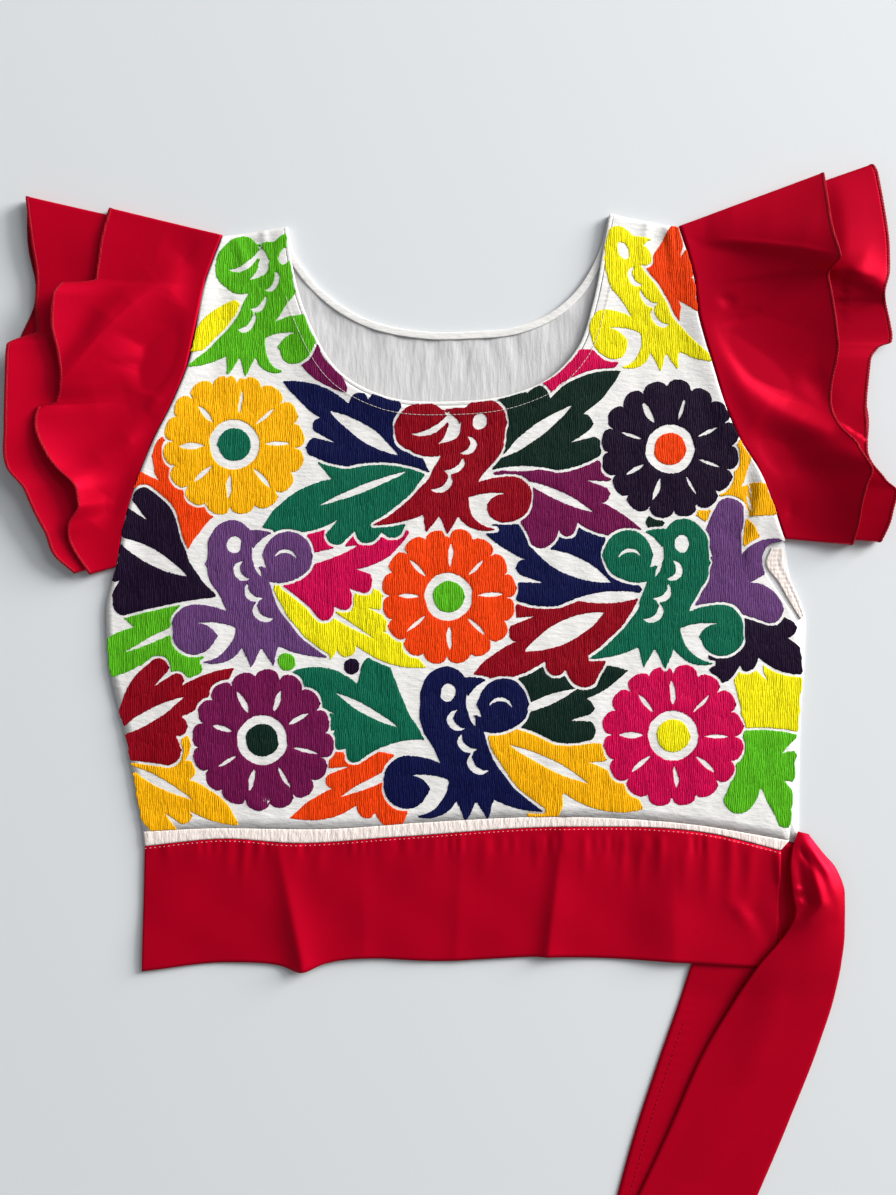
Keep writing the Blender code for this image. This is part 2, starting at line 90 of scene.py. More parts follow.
# %% Edges of the bodice
NECK_FRONT = [
    # x, y, from the left shoulder round to the right one
    (-110, 497), (-108, 479), (-97, 437), (-73, 398), (-45, 383), (0, 379),
    (45, 385), (67, 395), (86, 415), (97, 447), (104, 484), (108, 506),
]
NECK_BACK = [
    # x, y
    (-110, 498), (-106, 481), (-95, 464), (-82, 451), (-60, 437), (-18, 427),
    (14, 427), (44, 430), (67, 439), (84, 453), (101, 481), (108, 506),
]
ARMHOLE_LEFT = [
    # x, y, from the shoulder to the underarm
    (-154, 491), (-165, 462), (-178, 402), (-188, 378), (-201, 352), (-218, 306), (-226, 266),
]
ARMHOLE_RIGHT = [
    # x, y
    (155, 497), (165, 464), (168, 438), (176, 410), (197, 352), (208, 335), (227, 285),
]
SIDE_LEFT = [
    # x, y, from the underarm to the waist
    (-226, 266), (-233, 241), (-233, 225), (-230, 194), (-220, 154), (-208, 88),
]
SIDE_RIGHT = [
    # x, y: the front's edge, drawn back at the top where the side opening shows
    (227, 285), (215, 282), (211, 271), (220, 254), (235, 229), (238, 208), (235, 148), (230, 82),
]
SIDE_RIGHT_BACK = [
    # x, y
    (227, 285), (231, 260), (241, 234), (241, 215), (238, 163), (237, 116), (237, 80),
]

# %% Edges of the waist
STRIP_TOP = [
    # x, y
    (-208, 88), (-170, 90), (-77, 90), (-21, 94), (76, 98), (163, 93), (230, 82),
]
STRIP_FOOT = [
    # x, y
    (-207, 78), (-152, 83), (-107, 80), (-39, 84), (76, 91), (180, 86), (224, 75),
]
BACK_FOOT = STRIP_FOOT[:-1] + [(237, 80)]
BAND_FOOT = [
    # x, y
    (-209, -7), (-150, -1), (-116, -3), (-101, -7), (-86, -2), (0, 0),
    (66, 3), (102, 2), (160, -1), (221, -5),
]
BAND_BACK_FOOT = BAND_FOOT[:-1] + [(249, -2)]

# %% [markdown]
# How thick the cloths are and how they lie on each other. The shells drawn here are a little
# thinner than the solids they stand for, and keep the solids' levels, so no two of them cross.

# %% Levels
CLOTH = 1.0
SATIN = 0.7
BACK_LEVEL, BACK_LOFT = 0.6, 0.45
FRONT_LEVEL = 2.4
SEAM_GAP = 0.3
NECK_LIFT = (2.4, 20.0)
ARM_RISE = (1.6, 8.5)
PUFF = 2.2
PUFF_RAMPS = {"foot": (92, 150), "side": (236, 170), "neck": (430, 330)}


# %% Lines through the tables
def running_length(points):
    """How far along a line each of its points lies."""
    return np.concatenate([[0.0], np.cumsum(np.linalg.norm(np.diff(points, axis=0), axis=1))])


def length_shares(points):
    """The share of a line's length at each of its points."""
    along = running_length(points)
    return along / along[-1]


def cubic(known, values, slope, at):
    """Hermite cubics through known values with the given slopes, read at the places `at`."""
    at = np.clip(np.asarray(at, float), known[0], known[-1])
    k = np.clip(np.searchsorted(known, at, side="right") - 1, 0, len(known) - 2)
    width = known[k + 1] - known[k]
    t = (at - known[k]) / width
    if values.ndim == 2:
        t, width = t[:, None], width[:, None]
    return ((1 + 2 * t) * (1 - t) ** 2 * values[k] + t * (1 - t) ** 2 * width * slope[k]
            + t * t * (3 - 2 * t) * values[k + 1] + t * t * (t - 1) * width * slope[k + 1])


def smooth_line(rows, at):
    """Points at the given shares of the length of a smooth line through the rows of a table."""
    points = np.array(rows, float)
    along = length_shares(points)
    return cubic(along, points, np.gradient(points, along, axis=0), at)


def through(known, values, at):
    """Values between known ones, by cubics that never overshoot a row."""
    rise = np.diff(values) / np.diff(known)
    slope = np.zeros(len(known))
    before, after = rise[:-1], rise[1:]
    level = before * after <= 0
    slope[1:-1] = np.where(level, 0.0, 2 * before * after / np.where(level, 1.0, before + after))
    slope[0], slope[-1] = rise[0], rise[-1]
    return cubic(known, values, slope, at)


def half_row_shares(rows):
    """The shares of a line's length at its rows and half-way between them."""
    places = np.arange(2 * len(rows) - 1) / 2
    return np.interp(places, np.arange(len(rows)), length_shares(rows))


def smoothstep(low, high, value):
    """0 at low, 1 at high and a soft ramp between."""
    t = np.clip((value - low) / (high - low), 0.0, 1.0)
    return t * t * (3 - 2 * t)


def sideways(line):
    """Unit steps in plan to the right of a line's direction of travel."""
    along = np.gradient(line, axis=0)
    along /= np.linalg.norm(along, axis=1)[:, None]
    return np.column_stack([along[:, 1], -along[:, 0]])


def offset_line(line, distance):
    """A line moved sideways in plan, to the right of its direction of travel."""
    return line + distance * sideways(line)


def nearest(line, x, y):
    """For each x, y: the signed distance to a line, right of its travel positive, and how far
    along the line's rows the nearest place is."""
    start, run = line[:-1], np.diff(line, axis=0)
    px = x[..., None] - start[:, 0]
    py = y[..., None] - start[:, 1]
    t = np.clip((px * run[:, 0] + py * run[:, 1]) / (run ** 2).sum(axis=1), 0.0, 1.0)
    dx, dy = px - t * run[:, 0], py - t * run[:, 1]
    distance = np.sqrt(dx ** 2 + dy ** 2)
    k = distance.argmin(axis=-1)[..., None]
    side = np.sign(dx * run[:, 1] - dy * run[:, 0])
    pick = [np.take_along_axis(values, k, axis=-1)[..., 0] for values in (distance, side, t)]
    return pick[0] * pick[1], k[..., 0] + pick[2]


# %% [markdown]
# ## Creases placed one by one
# A real crease starts somewhere, deepens, turns and dies out, and one of its sides is steeper
# than the other. Each crease here is a line of a few rows: where it runs, how high it stands, and
# how far it reaches to either side. A trough is a ridge of negative height. A cloth simulation
# would give folds too, but never the ones that lie on this blouse.

# %% The height of a set of creases
def creases(rows_list, x, y):
    """The sum of soft ridges, height * exp(-(distance / reach) ** 2), with a reach for each side."""
    total = np.zeros(np.shape(x))
    for rows in rows_list:
        table = np.array(rows, float)
        distance, place = nearest(table[:, :2], x, y)
        count = np.arange(len(table))
        height, left, right = (np.interp(place, count, table[:, column]) for column in (2, 3, 4))
        total += height * np.exp(-(distance / np.where(distance < 0, left, right)) ** 2)
    return total


def ripple(x, y, size, height, seed):
    """A small uneven ripple: six sine waves of about the given size in mixed directions."""
    dice = np.random.default_rng(seed)
    total = np.zeros(np.shape(x))
    for turn in dice.uniform(0, np.pi, 6):
        wave = size * dice.uniform(0.7, 1.6)
        total += np.sin((x * np.cos(turn) + y * np.sin(turn)) * 2 * np.pi / wave + dice.uniform(0, 6))
    return total * height / 3


# %% [markdown]
# The front is a sheet at one level, lifted along the neck where the shoulders fold over, up at the
# armholes where the sleeve seams lie under it, and a little puffed in the middle. Embroidery pulls
# the cotton together, so the whole front also has small uneven puckers.

# %% Height of the bodice front
NECK_LINE = smooth_line(NECK_FRONT, np.linspace(0, 1, 60))
ARM_LINES = [smooth_line(rows, np.linspace(0, 1, 40)) for rows in (ARMHOLE_LEFT, ARMHOLE_RIGHT)]
FRONT_CREASES = [
    # rows of x, y, height, reach to the left of travel, reach to the right
    [(-144, 488, 1.2, 3, 4), (-138, 472, 0.7, 3, 5), (-134, 455, 0.0, 3, 5)],
    [(-126, 492, 0.9, 3, 3), (-124, 476, 0.4, 3, 3), (-121, 462, 0.0, 3, 3)],
    [(134, 500, 1.0, 3, 3), (132, 484, 0.5, 3, 4), (130, 470, 0.0, 3, 4)],
    [(148, 494, 0.9, 3, 3), (152, 476, 0.4, 3, 4), (152, 460, 0.0, 3, 4)],
    [(212, 330, 0.4, 6, 4), (207, 300, 2.2, 7, 4), (203, 276, 1.2, 7, 5), (206, 262, 0.0, 6, 6)],
    [(170, 297, 0.0, 6, 6), (192, 289, -1.0, 6, 8), (210, 290, -0.4, 6, 8)],
    [(204, 354, 0.0, 3, 3), (203, 332, -1.3, 4, 4), (202, 306, -1.5, 4, 4), (202, 286, 0.0, 4, 4)],
    [(-150, 120, 0.0, 5, 5), (-128, 104, 0.8, 4, 4), (-124, 92, 0.6, 3, 4)],
    [(76, 96, 0.9, 4, 7), (79, 118, 0.5, 5, 7), (82, 140, 0.0, 6, 7)],
]


def front_height(x, y):
    """The middle of the front's cloth, without its small puckers."""
    neck = NECK_LIFT[0] * np.exp(-(nearest(NECK_LINE, x, y)[0] / NECK_LIFT[1]) ** 2)
    arm = sum(ARM_RISE[0] * np.exp(-(nearest(line, x, y)[0] / ARM_RISE[1]) ** 2) for line in ARM_LINES)
    puff = smoothstep(*PUFF_RAMPS["foot"], y) * smoothstep(*PUFF_RAMPS["side"], np.abs(x))
    return FRONT_LEVEL + np.maximum(neck, arm) + PUFF * puff * smoothstep(*PUFF_RAMPS["neck"], y)


def front_surface(x, y):
    """The front with its creases and puckers, which fade out at the edges."""
    inner = smoothstep(84, 96, y) * smoothstep(242, 228, np.abs(x))
    return front_height(x, y) + inner * (creases(FRONT_CREASES, x, y) + ripple(x, y, 17, 0.22, 4))


# %% [markdown]
# ## From grids to meshes
# Two builders make every cloth and thread. `wall` thickens a grid of middle points into a closed
# cloth. `tubes` makes many small rods at once from rings of points: stitches, serging and bindings.
# Both also lay out a UV map in millimetres, so a weave follows its cloth.

# %% Closed walls and rods
def outward(points, faces, uv):
    """Turn a closed mesh the right way round: its faces' volume must be positive."""
    fan = [points[faces[:, corner]] for corner in range(4)]
    volume = sum(np.einsum("ij,ij->", fan[0], np.cross(fan[k], fan[k + 1])) for k in (1, 2))
    return (points, faces, uv) if volume > 0 else (points, faces[:, ::-1], uv[:, ::-1])


def wall(middle, thickness, ring=False, upright=False):
    """A closed wall round a grid of middle points: both faces and a rim at every open edge."""
    columns, rows = middle.shape[:2]
    normal = np.zeros_like(middle)
    if upright:
        normal[..., 2] = 1.0
    else:
        across = np.gradient(middle, axis=0)
        if ring:
            across = np.roll(middle, -1, axis=0) - np.roll(middle, 1, axis=0)
        normal = np.cross(across, np.gradient(middle, axis=1))
        normal /= np.linalg.norm(normal, axis=2)[..., None]
    points = np.vstack([(middle + side * normal * thickness / 2).reshape(-1, 3) for side in (1, -1)])
    number = np.arange(columns * rows).reshape(columns, rows)
    closed = np.concatenate([middle, middle[:1]]) if ring else middle
    number = np.vstack([number, number[:1]]) if ring else number
    half = closed.shape[1] // 2
    u = running_length(closed[:, half])
    v = np.linalg.norm(np.diff(closed, axis=1), axis=2).cumsum(axis=1)
    place = np.dstack([np.repeat(u[:, None], rows, axis=1), np.hstack([np.zeros((len(u), 1)), v])])
    far = columns * rows

    def corners(grid):
        return np.stack([grid[:-1, :-1], grid[1:, :-1], grid[1:, 1:], grid[:-1, 1:]], axis=2)

    sheet = corners(number).reshape(-1, 4)
    sheet_uv = corners(place).reshape(-1, 4, 2)
    faces, uv = [sheet, sheet[:, ::-1] + far], [sheet_uv, sheet_uv[:, ::-1]]
    rims = [(number[:, 0], place[:, 0]), (number[::-1, -1], place[::-1, -1])]
    if not ring:
        rims += [(number[0, ::-1], place[0, ::-1]), (number[-1, :], place[-1, :])]
    for rim, at in rims:
        faces.append(np.column_stack([rim[:-1], rim[:-1] + far, rim[1:] + far, rim[1:]]))
        uv.append(np.stack([at[:-1], at[:-1], at[1:], at[1:]], axis=1))
    return outward(points, np.vstack(faces), np.concatenate(uv))


def tubes(rings):
    """Closed rods from an array of rods, rings along each rod, points round each ring, xyz.

    The points round a ring are even in number, and each end is closed with a strip of quads.
    """
    rods, along, around = rings.shape[:3]
    number = np.arange(rods * along * around).reshape(rods, along, around)
    run = np.linalg.norm(np.diff(rings[:, :, 0], axis=1), axis=2).cumsum(axis=1)
    v = np.hstack([np.zeros((rods, 1)), run])
    turn = np.arange(around + 1) / around
    place = np.stack(np.broadcast_arrays(turn[None, None, :], v[:, :, None]), axis=3)
    wrapped = np.concatenate([number, number[:, :, :1]], axis=2)

    def corners(grid):
        return np.stack([grid[:, :-1, :-1], grid[:, :-1, 1:], grid[:, 1:, 1:], grid[:, 1:, :-1]], axis=3)

    faces, uv = [corners(wrapped).reshape(-1, 4)], [corners(place).reshape(-1, 4, 2)]
    i = np.arange(around // 2 - 1)
    lid = np.stack([i, i + 1, around - 2 - i, around - 1 - i], axis=1)
    for ring, order in ((0, slice(None, None, -1)), (-1, slice(None))):
        faces.append(number[:, ring][:, lid[:, order]].reshape(-1, 4))
        uv.append(place[:, ring][:, lid[:, order]].reshape(-1, 4, 2))
    return outward(rings.reshape(-1, 3), np.vstack(faces), np.concatenate(uv))


def add_piece(name, mesh_data, material, node=None, shade=None):
    """Put points, quads and UVs in millimetres into an object, and hide the imported solid it stands for.
    """
    points, faces, uv = mesh_data
    mesh = bpy.data.meshes.new(name)
    mesh.vertices.add(len(points))
    mesh.vertices.foreach_set("co", ((points + SHIFT) * MM).ravel())
    mesh.loops.add(faces.size)
    mesh.loops.foreach_set("vertex_index", faces.ravel().astype(np.int32))
    mesh.polygons.add(len(faces))
    mesh.polygons.foreach_set("loop_start", np.arange(0, faces.size, 4, dtype=np.int32))
    mesh.update(calc_edges=True)
    mesh.uv_layers.new(name="cloth").data.foreach_set("uv", uv.ravel())
    # the strand attribute holds each stitch's tone; on embroidery it also holds painted shade at the
    # rib's edges
    if shade is not None:
        mesh.attributes.new("strand", "FLOAT", "POINT").data.foreach_set("value", shade)
    mesh.shade_smooth()
    mesh.materials.append(material)
    obj = bpy.data.objects.new(name, mesh)
    bpy.context.scene.collection.objects.link(obj)
    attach(obj, "root")
    if node:
        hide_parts(node)
    diagonals = [points[faces[:, k + 2]] - points[faces[:, k]] for k in (0, 1)]
    area = np.linalg.norm(np.cross(*diagonals), axis=1).sum() / 4 * MM * MM
    print(f"{name}: {2 * len(faces)} triangles, {area:.4f} square metres a side")
    return obj

# %% [markdown]
# ## Finishes
# Three cloths and one thread make the whole blouse. What they share is built once as node groups:
# a weave that gives a height and a shade, a soft mottle, and the twist of a thread. The groups put
# out plain values, and the shader of each material stays in the material.

# %% Node helpers and the shared groups
def new_group(name, inputs, outputs):
    """A shader node group with float inputs (a vector where the name is UV) and float outputs."""
    group = bpy.data.node_groups.new(name, "ShaderNodeTree")
    for title, default in inputs:
        kind = "NodeSocketVector" if title == "UV" else "NodeSocketFloat"
        socket = group.interface.new_socket(title, in_out="INPUT", socket_type=kind)
        if title != "UV":
            socket.default_value = default
    for title in outputs:
        group.interface.new_socket(title, in_out="OUTPUT", socket_type="NodeSocketFloat")
    tree = Tree(group)
    tree.source = group.nodes.new("NodeGroupInput").outputs
    tree.result = group.nodes.new("NodeGroupOutput").inputs
    return tree


class Tree:
    """A node tree with short ways to add nodes: each call gives back the new node's output."""

    def __init__(self, tree):
        self.tree = tree

    def put(self, value, socket):
        if isinstance(value, bpy.types.NodeSocket):
            self.tree.links.new(value, socket)
        elif value is not None:
            socket.default_value = value

    def add(self, kind, inputs=(), output=0, **settings):
        node = self.tree.nodes.new(kind)
        for key, value in settings.items():
            setattr(node, key, value)
        items = inputs.items() if isinstance(inputs, dict) else enumerate(inputs)
        for key, value in items:
            self.put(value, node.inputs[key])
        return node.outputs[output]

    def math(self, operation, *values):
        return self.add("ShaderNodeMath", values, operation=operation)

    def noise(self, vector, scale, detail=2.0, roughness=0.5):
        inputs = {"Vector": vector, "Scale": scale, "Detail": detail, "Roughness": roughness}
        return self.add("ShaderNodeTexNoise", inputs)

    def split(self, vector):
        return self.add("ShaderNodeSeparateXYZ", [vector]).node.outputs

    def stretch(self, vector, scale):
        return self.add("ShaderNodeVectorMath", [vector, scale], operation="MULTIPLY")


def weave_group():
    """A plain weave: sin(u) * sin(v) gives the over and under, and noise makes uneven yarns.

    Height is for a bump, and Shade runs round 1, lighter on thick yarns.
    """
    tree = new_group("weave", [("UV", None), ("Pitch", 0.45), ("Slub", 0.5)], ["Height", "Shade"])
    uv, pitch, slub = tree.source[:3]
    place = tree.split(uv)
    turns = tree.math("DIVIDE", float(np.pi), pitch)
    over = tree.math("SINE", tree.math("MULTIPLY", place[0], turns))
    under = tree.math("SINE", tree.math("MULTIPLY", place[1], turns))
    long_yarn = tree.noise(tree.stretch(uv, (0.12, 1.8, 1.0)), 1.0)
    cross_yarn = tree.noise(tree.stretch(uv, (1.8, 0.12, 1.0)), 1.0)
    yarn = tree.math("MULTIPLY", tree.math("ADD", long_yarn, cross_yarn), slub)
    height = tree.math("ADD", tree.math("MULTIPLY", over, under), yarn)
    tree.put(height, tree.result[0])
    tree.put(tree.math("MULTIPLY_ADD", yarn, 0.12, 0.94), tree.result[1])
    return tree.tree


def mottle_group():
    """A soft cloudy factor round 1, from two sizes of noise. Amount is how far it strays."""
    tree = new_group("mottle", [("UV", None), ("Size", 40.0), ("Amount", 0.06)], ["Shade"])
    uv, size, amount = tree.source[:3]
    broad = tree.noise(uv, tree.math("DIVIDE", 1.0, size), detail=3.0)
    fine = tree.noise(uv, tree.math("DIVIDE", 6.0, size), detail=2.0)
    both = tree.math("ADD", broad, tree.math("MULTIPLY", fine, 0.4))
    off_middle = tree.math("SUBTRACT", both, 0.7)
    doubled = tree.math("MULTIPLY", amount, 2.0)
    tree.put(tree.math("MULTIPLY_ADD", off_middle, doubled, 1.0), tree.result[0])
    return tree.tree


def twist_group():
    """The twist of a thread: bands that lean across the rod. u goes once round, v runs along it."""
    tree = new_group("twist", [("UV", None), ("Pitch", 0.8)], ["Height"])
    uv, pitch = tree.source[:2]
    place = tree.split(uv)
    along = tree.math("DIVIDE", place[1], pitch)
    turn = tree.math("MULTIPLY", tree.math("ADD", along, place[0]), float(2 * np.pi))
    fibre = tree.noise(tree.stretch(uv, (6.0, 0.8, 1.0)), 1.0)
    tree.put(tree.math("ADD", tree.math("SINE", turn), fibre), tree.result[0])
    return tree.tree


WEAVE, MOTTLE, TWIST = weave_group(), mottle_group(), twist_group()


def new_material(name, **shader_values):
    """A material's tree and its shader, with constants set on the shader's own sockets."""
    material = bpy.data.materials.new(name)
    material.use_nodes = True
    tree = Tree(material.node_tree)
    shader = material.node_tree.nodes["Principled BSDF"]
    for title, value in shader_values.items():
        shader.inputs[title.replace("_", " ")].default_value = value
    return material, tree, shader


def use_group(tree, group, **values):
    """Place a group, fill its inputs by name and give back its node."""
    node = tree.tree.nodes.new("ShaderNodeGroup")
    node.node_tree = group
    for title, value in values.items():
        tree.put(value, node.inputs[title])
    return node


def tinted(tree, colour, *shades):
    """A colour multiplied by shade values."""
    factor = shades[0]
    for shade in shades[1:]:
        factor = tree.math("MULTIPLY", factor, shade)
    return tree.add("ShaderNodeVectorMath", {0: colour, 3: factor}, operation="SCALE")


def bumped(tree, shader, height, distance):
    """Feed a height in millimetres to the shader's normal."""
    normal = tree.add("ShaderNodeBump", {"Height": height, "Distance": distance * MM, "Strength": 1.0})
    tree.put(normal, shader.inputs["Normal"])


# %% [markdown]
# Cotton is matt, with a fine weave and a faint nap. The waist strip and the side facing are the
# same cotton in a creamier white. The inside of the back is the same white cotton with painted
# shade: it is made greyer for the shade it lies in below the front's neckline. Satin has long
# floats that lie one way, so it is smooth, with a soft broad shine, and only tiny lines along its length.

# %% Cotton and satin
def cotton(name, colour, mottling=0.05, crinkle=(130.0, 380.0, 0.0), depth=0.55):
    """Cotton, with soft crumples: `crinkle` is how many to the metre along x and y, `depth` in mm. The
    colour carries painted shade, darker in the crumples' valleys and lighter on their crests.
    """
    material, tree, shader = new_material(
        name, Roughness=0.9, Sheen_Weight=0.05, Sheen_Roughness=0.5, Specular_IOR_Level=0.15)
    uv = tree.add("ShaderNodeUVMap", uv_map="cloth")
    weave = use_group(tree, WEAVE, UV=uv, Pitch=0.42, Slub=0.9)
    mottle = use_group(tree, MOTTLE, UV=uv, Size=45.0, Amount=mottling)
    place = tree.add("ShaderNodeTexCoord", output="Object")
    crumple = tree.noise(tree.stretch(place, crinkle), 1.0, detail=3.0)
    # painted shade: the crumple noise that makes the bump also darkens the colour in its valleys
    crumple_painted_shade = tree.math("MULTIPLY_ADD", crumple, 0.16, 0.92)
    tree.put(tinted(tree, colour, weave.outputs[1], mottle.outputs[0], crumple_painted_shade), shader.inputs["Base Color"])
    fine = tree.math("MULTIPLY", weave.outputs[0], 0.015)
    bumped(tree, shader, tree.math("MULTIPLY_ADD", crumple, depth, fine), 1.0)
    return material


def satin(name, colour):
    """Satin: partly a metal, so it gleams in its own red, and the long floats break up the shine."""
    material, tree, shader = new_material(
        name, Metallic=0.4, Specular_IOR_Level=0.25, Specular_Tint=(1.0, 0.14, 0.50, 1.0))
    uv = tree.add("ShaderNodeUVMap", uv_map="cloth")
    floats = tree.noise(tree.stretch(uv, (5.0, 0.25, 1.0)), 1.0, detail=3.0)
    mottle = use_group(tree, MOTTLE, UV=uv, Size=60.0, Amount=0.05)
    slick = tree.math("MULTIPLY_ADD", floats, 0.12, 0.38)
    tree.put(slick, shader.inputs["Roughness"])
    tree.put(tinted(tree, colour, mottle.outputs[0]), shader.inputs["Base Color"])
    bumped(tree, shader, floats, 0.03)
    return material


WHITE_COTTON = cotton("white_cotton", (0.75, 0.73, 0.705))
# painted shade: the back's inside is the same white cotton, painted greyer for the shade it lies in under
# the front
SHADED_BACK_COTTON = cotton("back_cotton_painted_shade", (0.575, 0.565, 0.565), 0.06, crinkle=(230.0, 45.0, 0.0), depth=0.7)
CREAM_COTTON = cotton("cream_cotton", (0.80, 0.70, 0.65), crinkle=(420.0, 130.0, 0.0), depth=0.9)
RED_SATIN = satin("red_satin", (0.48, 0.0003, 0.013))


def thread(name, colour, roughness=0.6):
    """Thread: a matt twisted yarn. Each stitch carries its own tone in the strand attribute, which on
    embroidery also holds painted shade at the edges of each rib. The twist paints shade too, darker in
    its grooves.
    """
    material, tree, shader = new_material(name, Roughness=roughness, Specular_IOR_Level=0.08)
    uv = tree.add("ShaderNodeUVMap", uv_map="cloth")
    # strand: the stitch's own tone, and on embroidery painted shade at the rib's edges
    strand = tree.add("ShaderNodeAttribute", attribute_name="strand", output="Fac")
    twist = use_group(tree, TWIST, UV=uv, Pitch=0.7)
    # painted shade: the colour is darker in the twist's grooves and lighter on its ridges
    twist_painted_shade = tree.math("MULTIPLY_ADD", twist.outputs[0], 0.012, 0.99)
    place = tree.add("ShaderNodeTexCoord", output="Object")
    strokes = tree.noise(tree.stretch(place, (900.0, 190.0, 0.0)), 1.0, detail=1.5)
    uneven = tree.math("MULTIPLY_ADD", strokes, 0.5, 0.75)
    tree.put(tinted(tree, colour, strand, twist_painted_shade, uneven), shader.inputs["Base Color"])
    fine = tree.math("MULTIPLY", twist.outputs[0], 0.008)
    bumped(tree, shader, tree.math("MULTIPLY_ADD", strokes, 0.5, fine), 1.0)
    return material


# %% [markdown]
# ## The bodice
# The bodice is two flat panels. Each is drawn as rays from the neckline out to the edge, so its
# columns end exactly on the neck, the armholes, the sides and the waist, and no edge is ragged.

# %% Front and back panels
PANEL_COLUMNS = {"armhole": 56, "side": 40, "waist": 110}
FRONT_RINGS, BACK_RINGS = 50, 26
CORNER_RAYS = (0.0, 0.3, 0.4, 0.6, 0.7, 1.0)
EDGE_WIDTH = 2.6
NECK_CROWDING = 1.3


def flat(level):
    """A height that is the same everywhere."""
    return lambda x, y: np.full(np.shape(x), level)


def raised(plan, height):
    """A grid of points: its plan, and the height that a function gives there."""
    return np.dstack([plan, height(plan[..., 0], plan[..., 1])])


def round_edge(side_right, foot, columns):
    """A panel's outer edge in five stretches, from the left shoulder round to the right one."""
    down = [(ARMHOLE_LEFT, "armhole"), (SIDE_LEFT, "side"), (foot, "waist")]
    up = [(side_right, "side"), (ARMHOLE_RIGHT, "armhole")]
    lines = [smooth_line(rows, np.linspace(0, 1, columns[kind])) for rows, kind in down + up]
    return lines[:3] + [line[::-1] for line in lines[3:]]


def panel(neck, side_right, foot, rings, height, inset):
    """Rays from the neckline to the outer edge, with a ring of points at each share of the way."""
    stretches = round_edge(side_right, foot, PANEL_COLUMNS)
    outer = np.vstack([stretch[:-1] for stretch in stretches[:-1]] + [stretches[-1]])
    corners = np.cumsum([0] + [len(stretch) - 1 for stretch in stretches])
    inner = offset_line(smooth_line(neck, np.interp(np.arange(len(outer)), corners, CORNER_RAYS)), inset)
    share = np.linspace(0, 1, rings)[None, :, None] ** NECK_CROWDING
    return raised(inner[:, None, :] * (1 - share) + outer[:, None, :] * share, height)


BACK_CREASES = [
    # rows of x, y, height, reach left, reach right
    [(-79, 438, -0.7, 5, 4), (-75, 421, -0.6, 6, 4), (-70, 404, 0.0, 6, 5)],
    [(-54, 426, -0.8, 5, 4), (-52, 412, -0.7, 6, 4), (-44, 396, 0.0, 6, 5)],
    [(-34, 424, -0.9, 5, 3), (-26, 408, -0.8, 6, 4), (-14, 392, 0.0, 7, 5)],
    [(-16, 423, -0.7, 5, 3), (-8, 411, -0.9, 5, 4), (4, 396, 0.0, 7, 5)],
    [(4, 423, -0.5, 4, 3), (10, 408, -0.6, 5, 4), (14, 392, 0.0, 6, 5)],
    [(24, 424, -0.6, 4, 3), (28, 410, -0.4, 5, 4), (34, 398, 0.0, 6, 5)],
    [(41, 428, -0.8, 5, 3), (45, 412, -0.7, 6, 4), (52, 398, 0.0, 6, 5)],
    [(70, 438, -0.4, 4, 4), (72, 420, -0.4, 6, 5), (76, 406, 0.0, 6, 5)],
]


def back_surface(x, y):
    """The back lies flat on the table; soft wrinkles hang from its binding into the neck."""
    near = smoothstep(360, 380, y) * smoothstep(112, 92, np.abs(x))
    return BACK_LEVEL + BACK_LOFT + near * (creases(BACK_CREASES, x, y) + ripple(x, y, 24, 0.25, 8))


front_grid = panel(NECK_FRONT, SIDE_RIGHT, STRIP_TOP, FRONT_RINGS, front_surface, EDGE_WIDTH + SEAM_GAP)
back_grid = panel(NECK_BACK, SIDE_RIGHT_BACK, BACK_FOOT, BACK_RINGS, back_surface, 0.0)
front = add_piece(
    "front_cloth", wall(front_grid, CLOTH, upright=True), WHITE_COTTON, "bodice_front")
# the back wears the copy of the white cotton with painted shade
back = add_piece(
    "back_cloth", wall(back_grid, CLOTH, upright=True), SHADED_BACK_COTTON, "bodice_back")

# %% [markdown]
# ## Neck edge, binding and facing
# The front neckline is turned under, so its edge is a small round fold. The back neckline is bound
# with a narrow strip. Both are an oval profile carried along the neckline. The side opening shows
# its facing, a strip with a crease down its middle and small puckers across it.

# %% Profiles along a neckline
def oval(count, width, height, squareness=0.7):
    """Points round a squared oval: the sine and cosine raised to a power, with their signs."""
    turn = np.linspace(0, 2 * np.pi, count, endpoint=False)
    across = np.sign(np.cos(turn)) * np.abs(np.cos(turn)) ** squareness * width / 2
    up = np.sign(np.sin(turn)) * np.abs(np.sin(turn)) ** squareness * height / 2
    return across, up


def edging(line, height, across, up):
    """One rod along a plan line: every profile point is moved across in plan and up."""
    plan = line[:, None, :] + sideways(line)[:, None, :] * across[..., None]
    level = np.broadcast_to(height[:, None] + up, plan.shape[:2])
    return tubes(np.dstack([plan, level])[None])


NECK_STEPS, EDGE_HEIGHT = 260, 1.25
edge_line = smooth_line(NECK_FRONT, np.linspace(0, 1, NECK_STEPS))
edge_middle = offset_line(edge_line, EDGE_WIDTH / 2)
edge = add_piece(
    "neck_edge", edging(edge_middle, front_height(*edge_middle.T), *oval(16, EDGE_WIDTH, EDGE_HEIGHT)),
    WHITE_COTTON, "neck_edge_front")

BINDING_WIDTH, BINDING_HEIGHT, BINDING_LEVEL = 5.0, 1.2, 2.15
bind_middle = offset_line(smooth_line(NECK_BACK, np.linspace(0, 1, NECK_STEPS)), BINDING_WIDTH / 2)
bind_level = np.full(NECK_STEPS, BINDING_LEVEL)
binding = add_piece(
    "neck_binding", edging(bind_middle, bind_level, *oval(18, BINDING_WIDTH, BINDING_HEIGHT, 0.5)),
    WHITE_COTTON, "neck_binding_back")

FACING = [
    # outer x, outer y, inner x, inner y
    (226, 280, 218, 280), (227, 268, 214.5, 270), (232, 256, 223, 257), (237, 244, 231, 243),
    (240, 234, 238, 232),
]


def between(line_a, line_b, across):
    """Plan points on straight lines between two plan lines of equal count."""
    share = np.linspace(0, 1, across)[None, :, None]
    return line_a[:, None, :] * (1 - share) + line_b[:, None, :] * share


